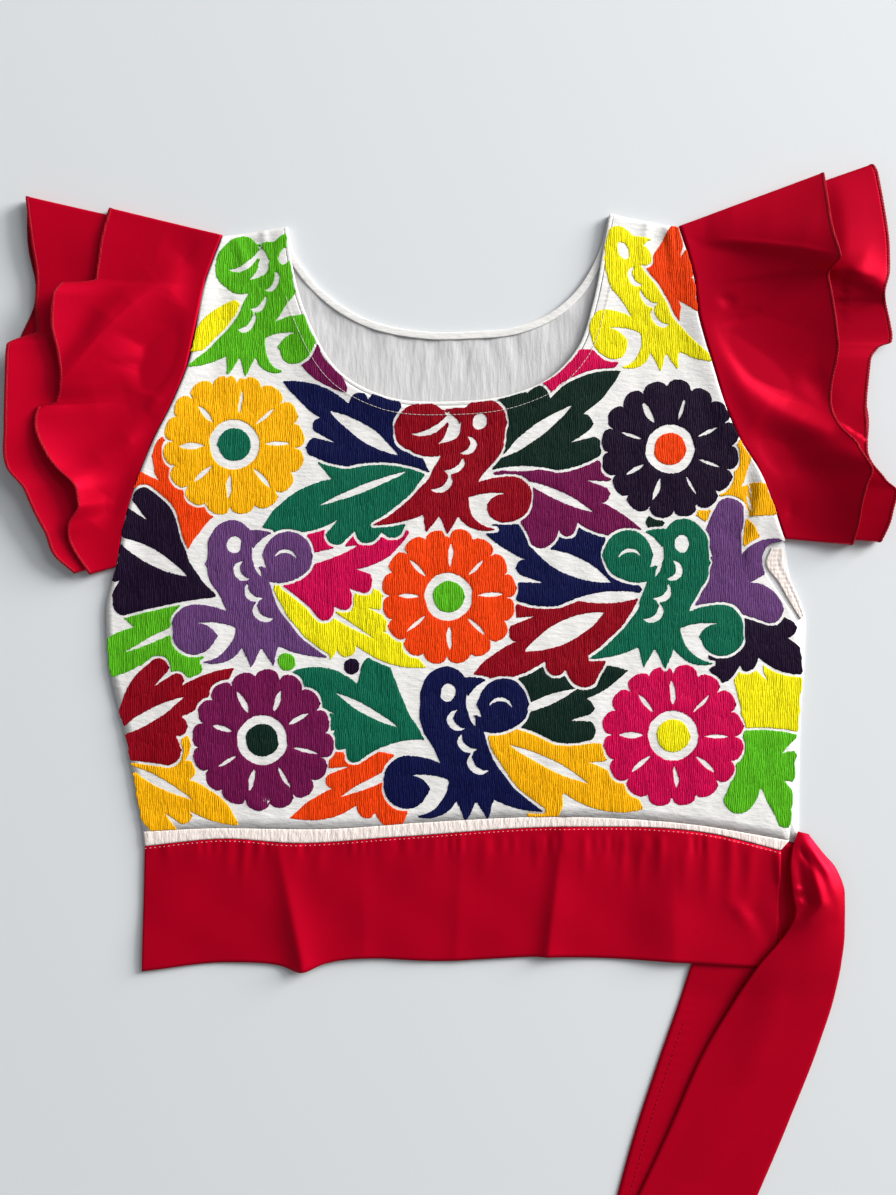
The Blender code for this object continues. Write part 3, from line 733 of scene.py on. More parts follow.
FACING_ROWS, FACING_COLUMNS, FACING_LEVEL, FACING_WALL = 90, 13, 2.0, 0.7
facing_table = np.array(FACING, float)
facing_at = np.linspace(0, 1, FACING_ROWS)
facing_edges = [smooth_line(pair, facing_at) for pair in (facing_table[:, :2], facing_table[:, 2:])]
facing_plan = between(*facing_edges, FACING_COLUMNS)
facing_share = np.linspace(0, 1, FACING_COLUMNS)[None, :]
pucker = np.sin(facing_at * 95)[:, None] * np.sin(np.pi * facing_share) * 0.16
crease_line = -0.3 * np.exp(-((facing_share - 0.35) / 0.09) ** 2)
facing_grid = np.dstack([facing_plan, FACING_LEVEL + pucker + crease_line])
facing = add_piece(
    "side_facing_cloth", wall(facing_grid, FACING_WALL, upright=True),
    CREAM_COTTON, "side_facing")

# %% [markdown]
# ## The waist
# Below the embroidery runs a stitched strip of creamy cotton, then the red satin band. The band is
# gathered a little into its seam, so short soft folds hang from it and die out, and a few long ones
# run all the way down, two of them deep. Its front rises at the right over the tie under it.

# %% Strip and band
BAND_FOLDS = [
    # x at the seam, x at the foot, height at the seam, height at the foot, width left, width right
    (-118, -100, 1.0, 5.6, 7.0, 12.0),
    (76, 65, 1.6, 3.8, 5.0, 14.0),
    (8, 4, 0.5, 0.9, 6.0, 12.0),
    (-60, -58, 0.3, 1.2, 14.0, 10.0),
    (150, 152, 0.5, 1.6, 14.0, 14.0),
]
BAND_SEAM_Y, BAND_DEPTH = 85.0, 88.0
BAND_RISE, BAND_RISE_RAMP = 1.5, (118, 150)
GATHERS = [
    # x, height, reach, length down from the seam
    (-190, 0.5, 5, 30), (-172, 0.4, 4, 22), (-150, 0.7, 4, 34), (-139, 0.9, 3, 40), (-130, 0.6, 3, 26),
    (-104, 0.5, 4, 30), (-88, 0.6, 4, 36), (-66, 0.3, 4, 20), (-44, 0.5, 5, 34), (-10, 0.5, 4, 30),
    (6, 0.4, 3, 22), (24, 0.6, 4, 36), (42, 0.3, 4, 22), (60, 0.7, 3, 30), (92, 0.6, 3, 34),
    (104, 0.5, 3, 26), (118, 0.7, 3, 40), (130, 0.8, 3, 44), (143, 0.7, 3, 38), (160, 0.8, 4, 46),
    (176, 0.9, 4, 52), (191, 1.1, 4, 56), (204, 1.0, 4, 48),
]
BAND_CREASES = [
    # rows of x, y, height, reach left, reach right
    [(222, 74, 1.6, 5, 3), (224, 58, 2.4, 7, 3), (229, 42, 1.8, 8, 3), (234, 26, 0.4, 8, 4)],
    [(186, 44, 0.0, 5, 5), (196, 34, 1.0, 5, 4), (204, 22, 0.2, 5, 4)],
    [(214, 52, 0.0, 6, 6), (206, 34, -1.2, 7, 6), (216, 14, -0.6, 7, 6)],
]


def band_height(x, y):
    """The band's front: level, with its long folds and its rise over the tie."""
    down = np.clip((BAND_SEAM_Y - y) / BAND_DEPTH, 0.0, 1.0)
    height = FRONT_LEVEL + BAND_RISE * smoothstep(*BAND_RISE_RAMP, x)
    for x_seam, x_foot, h_seam, h_foot, left, right in BAND_FOLDS:
        across = x - (x_seam + (x_foot - x_seam) * down)
        away = np.abs(across) / np.where(across < 0, left, right)
        height = height + (h_seam + (h_foot - h_seam) * down) * np.exp(-away ** 1.35)
    return height


def band_surface(x, y):
    """The band with its gathers, which start at the seam and fade downwards."""
    below = BAND_SEAM_Y - y
    total = band_height(x, y) + smoothstep(4, 16, below) * creases(BAND_CREASES, x, y)
    for x_gather, height, reach, length in GATHERS:
        fade = smoothstep(-4, 5, below) * smoothstep(length, length * 0.25, below)
        total = total + height * fade * np.exp(-((x - x_gather + below * 0.05) / reach) ** 2)
    small = np.sin(x * 0.8 + 2.4 * np.sin(x * 0.11)) * (0.6 + 0.5 * np.sin(x * 0.19 + 1))
    total = total + 0.3 * small * smoothstep(-2, 3, below) * smoothstep(17, 5, below)
    return total + ripple(x, y, 55, 0.45, 9) * smoothstep(0, 15, below)


def strip_surface(x, y):
    """The stitched strip: small upright puckers between its two rows of stitches."""
    waves = np.sin(x * 0.9 + np.sin(x * 0.13) * 3) * (0.6 + 0.4 * np.sin(x * 0.21))
    return front_height(x, y) + 0.16 * waves + 0.25


WAIST_COLUMNS, STRIP_ROWS, BAND_ROWS, BACK_BAND_ROWS = 300, 11, 36, 20
STRIP_WALL, STRIP_ROLL = 1.1, 0.35
BELOW_SEAM, ABOVE_HEM = (0.0, -SEAM_GAP), (0.0, 1.0)
waist_at = np.linspace(0, 1, WAIST_COLUMNS)
strip_top, strip_foot = smooth_line(STRIP_TOP, waist_at) + BELOW_SEAM, smooth_line(STRIP_FOOT, waist_at)
strip_grid = raised(between(strip_top, strip_foot, STRIP_ROWS), strip_surface)
strip_grid[..., 2] -= STRIP_ROLL * np.linspace(-1, 1, STRIP_ROWS) ** 6
strip = add_piece(
    "waist_strip_cloth", wall(strip_grid, STRIP_WALL, upright=True),
    CREAM_COTTON, "waist_strip")
band_plan = between(strip_foot + BELOW_SEAM, smooth_line(BAND_FOOT, waist_at), BAND_ROWS)
band_grid = raised(band_plan, band_surface)
band = add_piece("band_front_cloth", wall(band_grid, SATIN), RED_SATIN, "hem_band_front")
back_foot, back_hem = (smooth_line(rows, waist_at) for rows in (BACK_FOOT, BAND_BACK_FOOT))
back_band_plan = between(back_foot + BELOW_SEAM, back_hem + ABOVE_HEM, BACK_BAND_ROWS)
back_band_grid = raised(back_band_plan, flat(BACK_LEVEL))
back_band = add_piece(
    "band_back_cloth", wall(back_band_grid, CLOTH, upright=True), RED_SATIN, "hem_band_back")

# %% [markdown]
# ## The ties
# Two long ties leave the side seam. One comes out from under the band, and the other is gathered
# at the seam, folds over and lies on top of it. A tie is a row of cross-sections, each with its
# two edges, a level and a crown. Creases radiate from the gathered end.

# %% Ties
TIE_OVER = [
    # left x, left y, right x, right y, level, crown
    (236, 88, 243, 86, 2.6, 0.5),
    (232, 77, 252, 74, 4.4, 2.0),
    (230, 64, 261, 63, 6.5, 3.0),
    (231, 48, 266, 47, 8.0, 4.5),
    (233, 34, 266, 34, 8.8, 4.0),
    (229, 24, 266, 22, 8.5, 3.4),
    (207, -4, 264, -1, 7.0, 2.5),
    (193, -26, 260, -24, 4.2, 1.8),
    (171, -64, 250, -57, 2.4, 0.8),
    (148, -116, 231, -106, 2.0, 0.3),
    (107, -204, 195, -192, 2.0, 0.2),
    (84, -258, 174, -248, 2.0, 0.2),
    (62, -309, 153, -298, 2.0, 0.2),
]
TIE_UNDER = [
    # left x, left y, right x, right y, level, crown
    (200, 62, 219, 64, 2.1, 0.0),
    (183, 38, 223, 36, 2.1, 0.0),
    (169, 14, 225, 10, 2.1, 0.0),
    (163, -5, 228, -10, 1.9, 0.0),
    (156, -27, 232, -30, 0.5, 0.0),
    (142, -67, 224, -68, 0.5, 0.0),
    (124, -122, 209, -122, 0.5, 0.0),
    (102, -205, 189, -203, 0.5, 0.0),
    (86, -268, 172, -264, 0.5, 0.0),
    (78, -297, 163, -292, 0.5, 0.0),
]
TIE_OVER_CREASES = [
    # rows of x, y, height, reach left, reach right
    [(238, 84, 0.0, 3, 3), (246, 74, 1.8, 3, 3), (253, 62, 1.6, 4, 3), (258, 46, 0.6, 5, 4)],
    [(236, 80, 0.0, 2, 2), (239, 72, -1.6, 2, 2), (243, 66, -0.6, 2, 2)],
    [(243, 67, 0.4, 4, 1.5), (246, 53, 2.0, 6, 1.5), (249, 41, 2.6, 6, 2), (240, 31, 1.8, 5, 2),
     (230, 23, 0.3, 4, 3)],
    [(235, 74, -0.6, 3, 4), (237, 60, -2.0, 4, 4), (240, 46, -3.6, 4, 5), (242, 40, -3.4, 3, 5),
     (236, 34, -1.2, 3, 3)],
    [(229, 49, 0.4, 1.5, 1.5), (234, 50, 1.0, 1.5, 2.5), (241, 49, 0.2, 1.5, 2)],
    [(247, 74, 0.0, 3, 3), (256, 60, 0.9, 3, 4), (261, 40, 0.5, 4, 4), (262, 20, 0.0, 4, 4)],
    [(226, 16, 0.0, 8, 8), (220, -20, 0.9, 10, 12), (206, -70, 0.5, 10, 12), (190, -120, 0.0, 10, 10)],
]


def tie_grid(table, along, across, extra):
    """A tie's middle surface: cross-sections between its edges, crowned as half a sine wave."""
    table = np.array(table, float)
    middle = (table[:, :2] + table[:, 2:4]) / 2
    at = np.linspace(0, 1, along)
    values = np.column_stack([through(length_shares(middle), column, at) for column in table.T])
    plan = between(values[:, :2], values[:, 2:4], across)
    share = np.linspace(0, 1, across)[None, :]
    level = values[:, 4:5] + values[:, 5:6] * np.sin(np.pi * share)
    return np.dstack([plan, level + extra(plan[..., 0], plan[..., 1], share)])


def over_extra(x, y, share):
    """Creases from the gathered end, and a slow ripple."""
    return creases(TIE_OVER_CREASES, x, y) + np.abs(ripple(x, y, 60, 0.35, 21))


def under_extra(x, y, share):
    """A sewn hem at the left edge: slightly raised, and puckered along its stitches."""
    below = smoothstep(-16, -30, y)
    hem = 0.35 * smoothstep(0.12, 0.03, share)
    pucker = 0.22 * np.sin(y * 0.55 + 2 * np.sin(y * 0.06)) * np.exp(-((share - 0.1) / 0.08) ** 2)
    return below * (hem + np.abs(pucker))


over_grid = tie_grid(TIE_OVER, along=260, across=34, extra=over_extra)
under_grid = tie_grid(TIE_UNDER, along=200, across=30, extra=under_extra)
tie_over = add_piece("tie_over_cloth", wall(over_grid, SATIN), RED_SATIN, "tie_over")
tie_under = add_piece("tie_under_cloth", wall(under_grid, SATIN), RED_SATIN, "tie_under")

# %% [markdown]
# ## The flounces
# Each armhole has two flounces: rings of satin cut wider at the hem than at the seam, so the hem
# stands in waves. Laid flat, each is a tube pressed together: its front goes down from the shoulder
# fold to the underarm fold, and its back lies on the table. Rays leave the armhole like a fan, and
# both flounces share them, so the shorter one always lies a ply above the longer one.

# %% Fans and hems
FAN_LEFT = [
    # along the armhole, x, y
    (0.0, -290, 523), (0.15, -292, 462), (0.35, -300, 405), (0.55, -302, 358),
    (0.75, -288, 312), (0.9, -268, 278), (1.0, -248, 259),
]
FAN_RIGHT = [
    # along the armhole, x, y
    (0.0, 290, 546), (0.156, 297, 480), (0.27, 300, 436), (0.4, 292, 405), (0.547, 288, 372),
    (0.67, 292, 345), (0.76, 300, 325), (0.89, 300, 302), (1.0, 290, 279),
]
HEM_LEFT_UPPER = [
    # x, y, height
    (-230, 510, 7), (-236, 484, 9), (-239, 461, 9), (-249, 458, 13), (-260, 457, 17),
    (-265, 448, 20), (-266, 432, 20), (-262, 408, 18), (-261, 389, 15), (-265, 377, 12),
    (-276, 375, 14), (-278, 367, 16), (-270, 342, 17), (-264, 334, 17), (-250, 318, 17),
    (-249, 308, 16), (-256, 296, 14), (-256, 283, 10), (-246, 266, 7),
]
HEM_LEFT_LOWER = [
    # x, y, height
    (-287, 502, 9), (-282, 486, 10), (-279, 464, 8), (-280, 444, 7), (-279, 426, 8),
    (-286, 422, 12), (-296, 416, 17), (-297, 393, 18), (-298, 359, 17), (-297, 334, 15),
    (-285, 318, 14), (-273, 292, 12), (-264, 272, 9), (-250, 260, 6),
]
HEM_RIGHT_UPPER = [
    # x, y, height
    (252, 530, 10), (252, 515, 17), (253, 488, 26), (256, 470, 29), (252, 463, 21),
    (255, 450, 19), (259, 430, 17), (261, 410, 14), (258, 392, 12), (257, 376, 14),
    (261, 362, 17), (272, 348, 19), (279, 334, 24), (277, 321, 24), (274, 300, 18), (272, 283, 8),
]
HEM_RIGHT_LOWER = [
    # x, y, height
    (282, 545, 7), (288, 533, 9), (291, 513, 11), (294, 491, 12), (294, 466, 14),
    (291, 451, 12), (293, 446, 9), (297, 432, 7), (298, 419, 6), (290, 416, 6),
    (284, 407, 7), (282, 390, 8), (281, 365, 10), (283, 338, 11), (292, 326, 13), (300, 318, 14),
    (296, 298, 12), (290, 282, 7),
]
PLY_WALL = 1.0
UPPER_BACK = PLY_WALL / 2
LOWER_BACK = UPPER_BACK + PLY_WALL + SEAM_GAP
LOWER_FRONT = LOWER_BACK + PLY_WALL + SEAM_GAP
PLY = PLY_WALL + SEAM_GAP + 0.1
ARM_SEAM_START = 0.7
FOLD_REACH = 0.9
CREASE_SHARE, CREASE_START = 0.5, 0.18
LOWER_DIP, UPPER_DIP = 0.3, 0.4
TIERS = {
    # tier: rise as a power, shares of the armhole, reach of the back's hem, level of the back
    "upper": (1.9, (0.0, 0.988), 0.74, UPPER_BACK),
    "lower": (2.2, (0.014, 0.972), 0.93, LOWER_BACK),
}
FRONT_COLUMNS, BACK_COLUMNS, SLEEVE_ROWS = 250, 46, 46
LEFT_CREASES = [
    # rows of x, y, height, reach left, reach right
    [(-266, 384, 1.5, 6, 14), (-252, 402, 3.4, 7, 16), (-237, 419, 5.0, 9, 18),
     (-227, 433, 5.8, 11, 19), (-213, 444, 5.4, 13, 20), (-194, 457, 3.6, 14, 20),
     (-178, 474, 0.8, 10, 14)],
    [(-262, 388, 0.4, 1.4, 1.6), (-237, 419, 0.7, 1.4, 1.6), (-213, 444, 0.5, 1.4, 1.6),
     (-200, 453, 0, 2, 2)],
    [(-180, 442, 0.0, 8, 16), (-188, 427, -2.8, 10, 18), (-196, 412, -4.8, 12, 20),
     (-202, 397, -2.4, 10, 16), (-206, 384, 0.0, 8, 10)],
    [(-234, 403, 0.0, 3, 5), (-215, 404, -0.7, 4, 8), (-196, 401, -0.9, 4, 8), (-186, 400, 0.0, 3, 5)],
    [(-240, 380, 0.0, 14, 14), (-220, 384, -1.6, 12, 12), (-204, 390, -0.8, 9, 9)],
    [(-206, 372, 0.0, 5, 5), (-198, 379, 1.8, 5, 3), (-190, 386, 1.2, 4, 3), (-184, 390, 0.0, 3, 3)],
    [(-202, 366, 0.0, 3, 3), (-195, 371, 1.0, 3, 2), (-189, 377, 0.0, 3, 3)],
    [(-252, 322, 0.8, 12, 8), (-234, 338, 2.4, 11, 7), (-216, 352, 2.4, 10, 7), (-200, 364, 0.0, 9, 8)],
    [(-240, 296, 0.0, 8, 8), (-228, 312, -2.6, 9, 8), (-214, 328, -1.2, 8, 8)],
    [(-284, 480, -1.6, 14, 14), (-262, 478, -1.8, 14, 14), (-244, 478, 0.0, 12, 12)],
    [(-196, 485, 0.0, 14, 12), (-178, 478, -1.6, 12, 10), (-166, 470, 0.0, 8, 8)],
]
RIGHT_CREASES = [
    # rows of x, y, height, reach left, reach right
    [(172, 489, 0.8, 22, 4), (190, 487, 3.6, 26, 4), (212, 483, 6.0, 28, 4), (234, 478, 7.0, 28, 5),
     (248, 473, 6.4, 24, 5), (262, 467, 5.0, 20, 5)],
    [(180, 489, 0.0, 1.5, 1.5), (205, 484.5, 0.6, 1.5, 1.5), (234, 478.5, 0.7, 1.5, 1.5),
     (258, 470, 0.4, 1.5, 1.5)],
    [(176, 442, 0.0, 16, 10), (193, 422, -2.4, 30, 10), (212, 402, -4.4, 42, 11),
     (234, 385, -5.2, 46, 12), (258, 368, -3.4, 40, 12)],
    [(262, 534, 0.0, 20, 8), (265, 512, 4.0, 24, 9), (267, 490, 6.0, 25, 9), (267, 472, 6.0, 24, 9)],
    [(180, 452, 0.0, 4, 4), (188, 447, -1.2, 4, 4), (194, 444, 0.0, 4, 4)],
    [(184, 430, 0.0, 3, 3), (196, 435, -1.6, 4, 3), (211, 441, 0.0, 4, 4)],
    [(170, 430, 0.0, 8, 8), (180, 408, 0.8, 8, 10), (196, 389, 1.2, 9, 12), (216, 374, 2.0, 10, 14),
     (234, 364, 3.4, 11, 14), (250, 354, 4.2, 12, 13), (268, 342, 4.0, 14, 12),
     (286, 330, 2.0, 12, 10)],
    [(238, 404, 0.0, 6, 6), (246, 392, -2.0, 7, 7), (255, 378, -1.2, 7, 7), (262, 366, 0.0, 6, 6)],
    [(206, 366, 0.0, 14, 14), (226, 350, -3.2, 16, 16), (252, 326, -2.4, 16, 14),
     (270, 306, 0.0, 12, 12)],
    [(226, 296, 0.0, 4, 4), (230, 304, -0.8, 4, 4), (233, 314, 0.0, 4, 4)],
    [(262, 465, 2.0, 8, 3), (272, 461, 7.0, 14, 3), (285, 455, 8.0, 14, 3), (298, 447, 5.0, 12, 3)],
]


class Sleeve:
    """The two flounces of one armhole, on shared rays from the seam outwards.

    A place is given by `along`, the share of the armhole from the shoulder down, and `out`, the
    share of the ray's length.
    """

    def __init__(self, armhole, fan, hem_upper, hem_lower, crease_rows):
        self.line = smooth_line(armhole, half_row_shares(armhole))
        self.line_shares = length_shares(self.line)
        self.fan = np.array(fan, float)
        self.crease_rows = crease_rows
        self.hems = {"upper": self.on_rays(hem_upper), "lower": self.on_rays(hem_lower)}

    def seam(self, along):
        return np.column_stack([np.interp(along, self.line_shares, column) for column in self.line.T])

    def ray(self, along):
        tip = [through(self.fan[:, 0], self.fan[:, axis], along) for axis in (1, 2)]
        return np.column_stack(tip) - self.seam(along)

    def on_rays(self, hem):
        """Each row's share of the armhole and of its ray, from its place in plan."""
        along = np.linspace(0, 1, 4001)
        seam, ray = self.seam(along), self.ray(along)
        length = np.linalg.norm(ray, axis=1)
        found = []
        for x, y, height in hem:
            to = np.array([x, y]) - seam
            k = int(np.argmin(np.abs(ray[:, 0] * to[:, 1] - ray[:, 1] * to[:, 0]) / length))
            found.append((along[k], (to[k] @ ray[k]) / length[k] ** 2, height))
        found = np.array(found)
        found[0, 0] = 0.0
        for k in range(1, len(found)):
            found[k, 0] = max(found[k, 0], found[k - 1, 0] + 0.004)
        found[-1, 0] = 1.0
        return found

    def hem(self, tier, along):
        """How far out the hem is, and how high, on the front."""
        known, reach, height = self.hems[tier].T
        return through(known, reach, along), through(known, height, along)

    def front(self, tier, along, out):
        """The height of a flounce's front: a power of the way out, with the listed creases.

        Each of the two flounces takes its share of a crease's height, so the upper one has it whole.
        """
        reach, height = self.hem("lower", along)
        power = TIERS["lower"][0]
        low = LOWER_FRONT + (height - LOWER_FRONT) * (out / reach) ** power
        plan = self.seam(along) + self.ray(along) * out[:, None]
        fold = CREASE_SHARE * creases(self.crease_rows, *plan.T) * smoothstep(0.0, CREASE_START, out)
        lowest = LOWER_FRONT - LOWER_DIP
        if tier == "lower":
            return np.maximum(low + fold, lowest)
        reach_up, height_up = self.hem("upper", along)
        low_at_hem = LOWER_FRONT + (height - LOWER_FRONT) * (reach_up / reach) ** power
        extra = np.maximum(height_up - low_at_hem - PLY, 0.0)
        lift = extra * (out / reach_up) ** TIERS["upper"][0]
        return np.maximum(low + fold, lowest) + PLY + np.maximum(lift + fold, -UPPER_DIP)

    def back_reach(self, tier, along):
        """How far out the hem is on the back, which lies flat on the table."""
        ends = self.hem(tier, np.array([0.0, 1.0]))[0]
        middle = TIERS[tier][2] * (1 + 0.03 * np.sin(along * 25))
        blend = smoothstep(0.0, 0.15, along) * smoothstep(1.0, 0.85, along)
        return (ends[0] * (1 - along) + ends[1] * along) * (1 - blend) + middle * blend

    def columns(self, along, reach, height):
        """Columns of points from the seam to the hem, one for each share of the armhole."""
        share = np.linspace(0, 1, SLEEVE_ROWS + 1)[None, :]
        start = (ARM_SEAM_START / np.linalg.norm(self.ray(along), axis=1))[:, None]
        out = start + (reach[:, None] - start) * share
        wide = np.repeat(along[:, None], SLEEVE_ROWS + 1, axis=1)
        plan = self.seam(along)[:, None, :] + self.ray(along)[:, None, :] * out[..., None]
        return np.dstack([plan, height(wide.ravel(), out.ravel()).reshape(out.shape)])

    def fold(self, along, top, bottom):
        """Columns round a fold edge, bulging away from the rest of the sleeve."""
        ray = self.ray(np.array([along]))[0]
        out = np.array([-ray[1], ray[0], 0.0]) / np.linalg.norm(ray)
        middle = self.seam(np.array([0.5]))[0] - self.seam(np.array([along]))[0]
        out = out * -np.sign(out[:2] @ middle)
        turns = np.radians(np.arange(22.5, 170, 22.5))[:, None, None]
        share = (1 - np.cos(turns)) / 2
        return top * (1 - share) + bottom * share + out * FOLD_REACH * np.sin(turns)

    def tube(self, tier):
        """The flattened tube: down the front, round the underarm fold, up the back, and round."""
        _, (first, last), _, back_level = TIERS[tier]
        at = np.linspace(first, last, FRONT_COLUMNS)
        front = self.columns(at, self.hem(tier, at)[0], lambda a, o: self.front(tier, a, o))
        at = np.linspace(last, first, BACK_COLUMNS)
        back = self.columns(at, self.back_reach(tier, at), flat(back_level))
        underarm, shoulder = self.fold(last, front[-1], back[0]), self.fold(first, back[-1], front[0])
        return np.vstack([front, underarm, back, shoulder])


SLEEVES = {
    "left": Sleeve(ARMHOLE_LEFT, FAN_LEFT, HEM_LEFT_UPPER, HEM_LEFT_LOWER, LEFT_CREASES),
    "right": Sleeve(ARMHOLE_RIGHT, FAN_RIGHT, HEM_RIGHT_UPPER, HEM_RIGHT_LOWER, RIGHT_CREASES),
}

# %% [markdown]
# The hem of each flounce is overlocked: a dense red thread wraps round the raw edge in small
# slanting stitches. It is one rod along the hem, an oval just wider than the cloth, whose size
# swells and shrinks with each stitch.

# %% Flounces and their overlocked hems
SERGING = thread("serging_thread", (0.27, 0.001, 0.010), 0.55)
SERGE_WIDTH, SERGE_HEIGHT, SERGE_PITCH, SERGE_STEP = 2.6, 1.2, 2.2, 0.55
SERGE_SWELL, SERGE_INSET, SERGE_SIDES = 0.13, 0.32, 8
OFF_TABLE = 0.1


def resampled(line, step):
    """Points at even steps along a closed line, and the places between its rows they come from."""
    closed = np.vstack([line, line[:1]])
    along = running_length(closed)
    at = np.linspace(0, along[-1], int(along[-1] / step))
    return at, np.interp(at, along, np.arange(len(closed)))


def picked(values, place):
    """Rows of an array at fractional places, blended, with the first row after the last."""
    closed = np.vstack([values, values[:1]])
    k = np.minimum(place.astype(int), len(values) - 1)
    part = (place - k)[:, None]
    return closed[k] * (1 - part) + closed[k + 1] * part


def serging(grid):
    """An oval round the hem that swells with each slanting stitch.

    Its size is 1 + SERGE_SWELL * sin(turn + 2 pi s / pitch), with s the way along the hem.
    """
    hem, inside = grid[:, -1], grid[:, -2]
    at, place = resampled(hem, SERGE_STEP)
    centre = picked(hem, place)
    inwards = picked(inside - hem, place)
    inwards /= np.linalg.norm(inwards, axis=1)[:, None]
    travel = np.gradient(centre, axis=0)
    travel /= np.linalg.norm(travel, axis=1)[:, None]
    up = np.cross(travel, inwards)
    up /= np.linalg.norm(up, axis=1)[:, None]
    turn = np.linspace(0, 2 * np.pi, SERGE_SIDES, endpoint=False)[None, :]
    swell = 1 + SERGE_SWELL * np.sin(2 * np.pi * at[:, None] / SERGE_PITCH + turn)
    across = (np.cos(turn) * SERGE_WIDTH / 2 * swell + SERGE_WIDTH * SERGE_INSET)[..., None]
    high = (np.sin(turn) * SERGE_HEIGHT / 2 * swell)[..., None]
    rings = centre[:, None] + inwards[:, None] * across + up[:, None] * high
    rings[..., 2] = np.maximum(rings[..., 2], OFF_TABLE)
    return tubes(rings[None])


FLOUNCE_CUT = {"upper": (0.64, 0.11, 0.042), "lower": (0.72, 0.14, 0.056)}
for side_name, sleeve in SLEEVES.items():
    for tier in TIERS:
        grid = sleeve.tube(tier)
        flounce = add_piece(
            f"flounce_{side_name}_{tier}", wall(grid, SATIN, ring=True), RED_SATIN,
            f"sleeve_{side_name}_{tier}")
        rod = serging(grid)
        edge_thread = add_piece(
            f"serging_{side_name}_{tier}", rod, SERGING, shade=np.ones(len(rod[0])))
        width, length, area = FLOUNCE_CUT[tier]

# %% [markdown]
# ## Embroidery
# The front is filled with birds, flowers and leaves in one flat satin stitch: every thread runs up
# and down the cloth, side by side, and a motif's edge is where the threads turn. So a motif needs
# only an outline. It is ruled into upright lines one thread apart, and each stretch of a line that
# lies inside becomes a few stitches, so the edges get the fine notches of the real thing for nothing.
#
# An outline is a list of corners, each with a bulge for the arc to the next corner: 0 is a straight
# line, 1 a half circle, and a negative bulge curves inwards. Outlines run anticlockwise.

# %% Outlines made of arcs
ARC_STEPS = 10


def arcs(rows):
    """Points along arcs between corners. The bulge is the arc's height over half its chord."""
    table = np.array(rows, float)
    start, end, bulge = table[:, :2], np.roll(table[:, :2], -1, axis=0), table[:, 2:3]
    middle, half = (start + end) / 2, (end - start) / 2
    right = np.column_stack([half[:, 1], -half[:, 0]])
    t = np.linspace(-1, 1, ARC_STEPS, endpoint=False)
    points = []
    for k in range(len(table)):
        b = bulge[k, 0]
        reach = 4 * np.arctan(b)
        if abs(b) < 0.01:
            across, height = t, np.zeros(ARC_STEPS)
        else:
            turn = t * reach / 2
            across = np.sin(turn) / np.sin(reach / 2)
            height = (np.cos(turn) - np.cos(reach / 2)) / np.sin(reach / 2)
        points.append(middle[k] + across[:, None] * half[k] + height[:, None] * right[k])
    return np.vstack(points)


def circle(radius, x=0.0, y=0.0, tall=1.0):
    """A ring of points, or an upright oval."""
    turn = np.linspace(0, 2 * np.pi, 49)[:-1]
    return np.column_stack([x + radius * np.cos(turn), y + radius * tall * np.sin(turn)])


# %% [markdown]
# The charts. Each kind of motif is drawn once, in its own small frame, and then turned, leaned and
# stretched into its place. So five flowers need one rule, and six birds share one outline.

# %% Motifs in their own frames
PETALS, PETAL_POINTS = 16, 20
BARE_RING, FLOWER_EYE = 0.355, 0.23


def flower(radius, seed):
    """Sixteen scallops, two to a petal: each is half an ellipse on a ring, R * (0.88 + 0.12 * h).

    A slit points at the middle from every second notch, and a bare ring lies round the eye. No two
    scallops are quite alike, so their sizes and the slits' directions are drawn by lot.
    """
    dice = np.random.default_rng(seed)
    turn = np.linspace(0, 2 * np.pi, PETALS * PETAL_POINTS, endpoint=False)
    lobe = (turn / (2 * np.pi) * PETALS).astype(int)
    across = (turn / (2 * np.pi) * PETALS % 1) * 2 - 1
    height = np.sqrt(1 - across ** 2) * dice.uniform(0.85, 1.12, PETALS)[lobe]
    deeper = np.abs(across) ** 9 * ((lobe + (across > 0)) % 2)
    edge = radius * (0.88 - 0.035 * deeper + 0.12 * height)
    turn = turn + dice.uniform(0, 0.39)
    parts = [(1, np.column_stack([edge * np.cos(turn), edge * np.sin(turn)]))]
    for petal in range(PETALS // 2):
        a = turn[0] + (petal + 0.5) * 4 * np.pi / PETALS + dice.uniform(-0.09, 0.09)
        thick, tip = dice.uniform(0.12, 0.26), dice.uniform(0.74, 0.82)
        slit = arcs([(0.42, 0, thick), (tip, 0, thick)]) * radius
        parts.append((-1, slit @ np.array([[np.cos(a), np.sin(a)], [-np.sin(a), np.cos(a)]])))
    parts.append((-1, circle(BARE_RING * radius)))
    return parts


LEAF = [
    # along from base to tip, across, bulge: two round lobes, the blade, two fingers
    (0.00, 0.00, -0.04), (0.40, -0.27, 0.62), (0.52, -0.17, 0.0), (0.52, -0.15, 0.85),
    (0.61, -0.10, 0.0), (0.60, -0.08, 0.20), (1.00, 0.00, 0.14), (0.60, 0.05, 0.0),
    (0.70, 0.06, 0.85), (0.68, 0.135, 0.0), (0.55, 0.13, 0.0), (0.68, 0.17, 0.75),
    (0.62, 0.25, 0.10), (0.42, 0.20, -0.16),
]
WING_LEAF = [
    # the same, with one broad lobe below and three round ones above
    (0.00, 0.00, -0.10), (0.46, -0.30, 0.70), (0.60, -0.19, 0.0), (0.57, -0.10, 0.24),
    (1.00, 0.00, 0.20), (0.62, 0.10, 0.0), (0.70, 0.14, 0.80), (0.62, 0.21, 0.0),
    (0.56, 0.18, 0.80), (0.47, 0.26, 0.0), (0.44, 0.24, 0.70), (0.33, 0.27, -0.20),
]
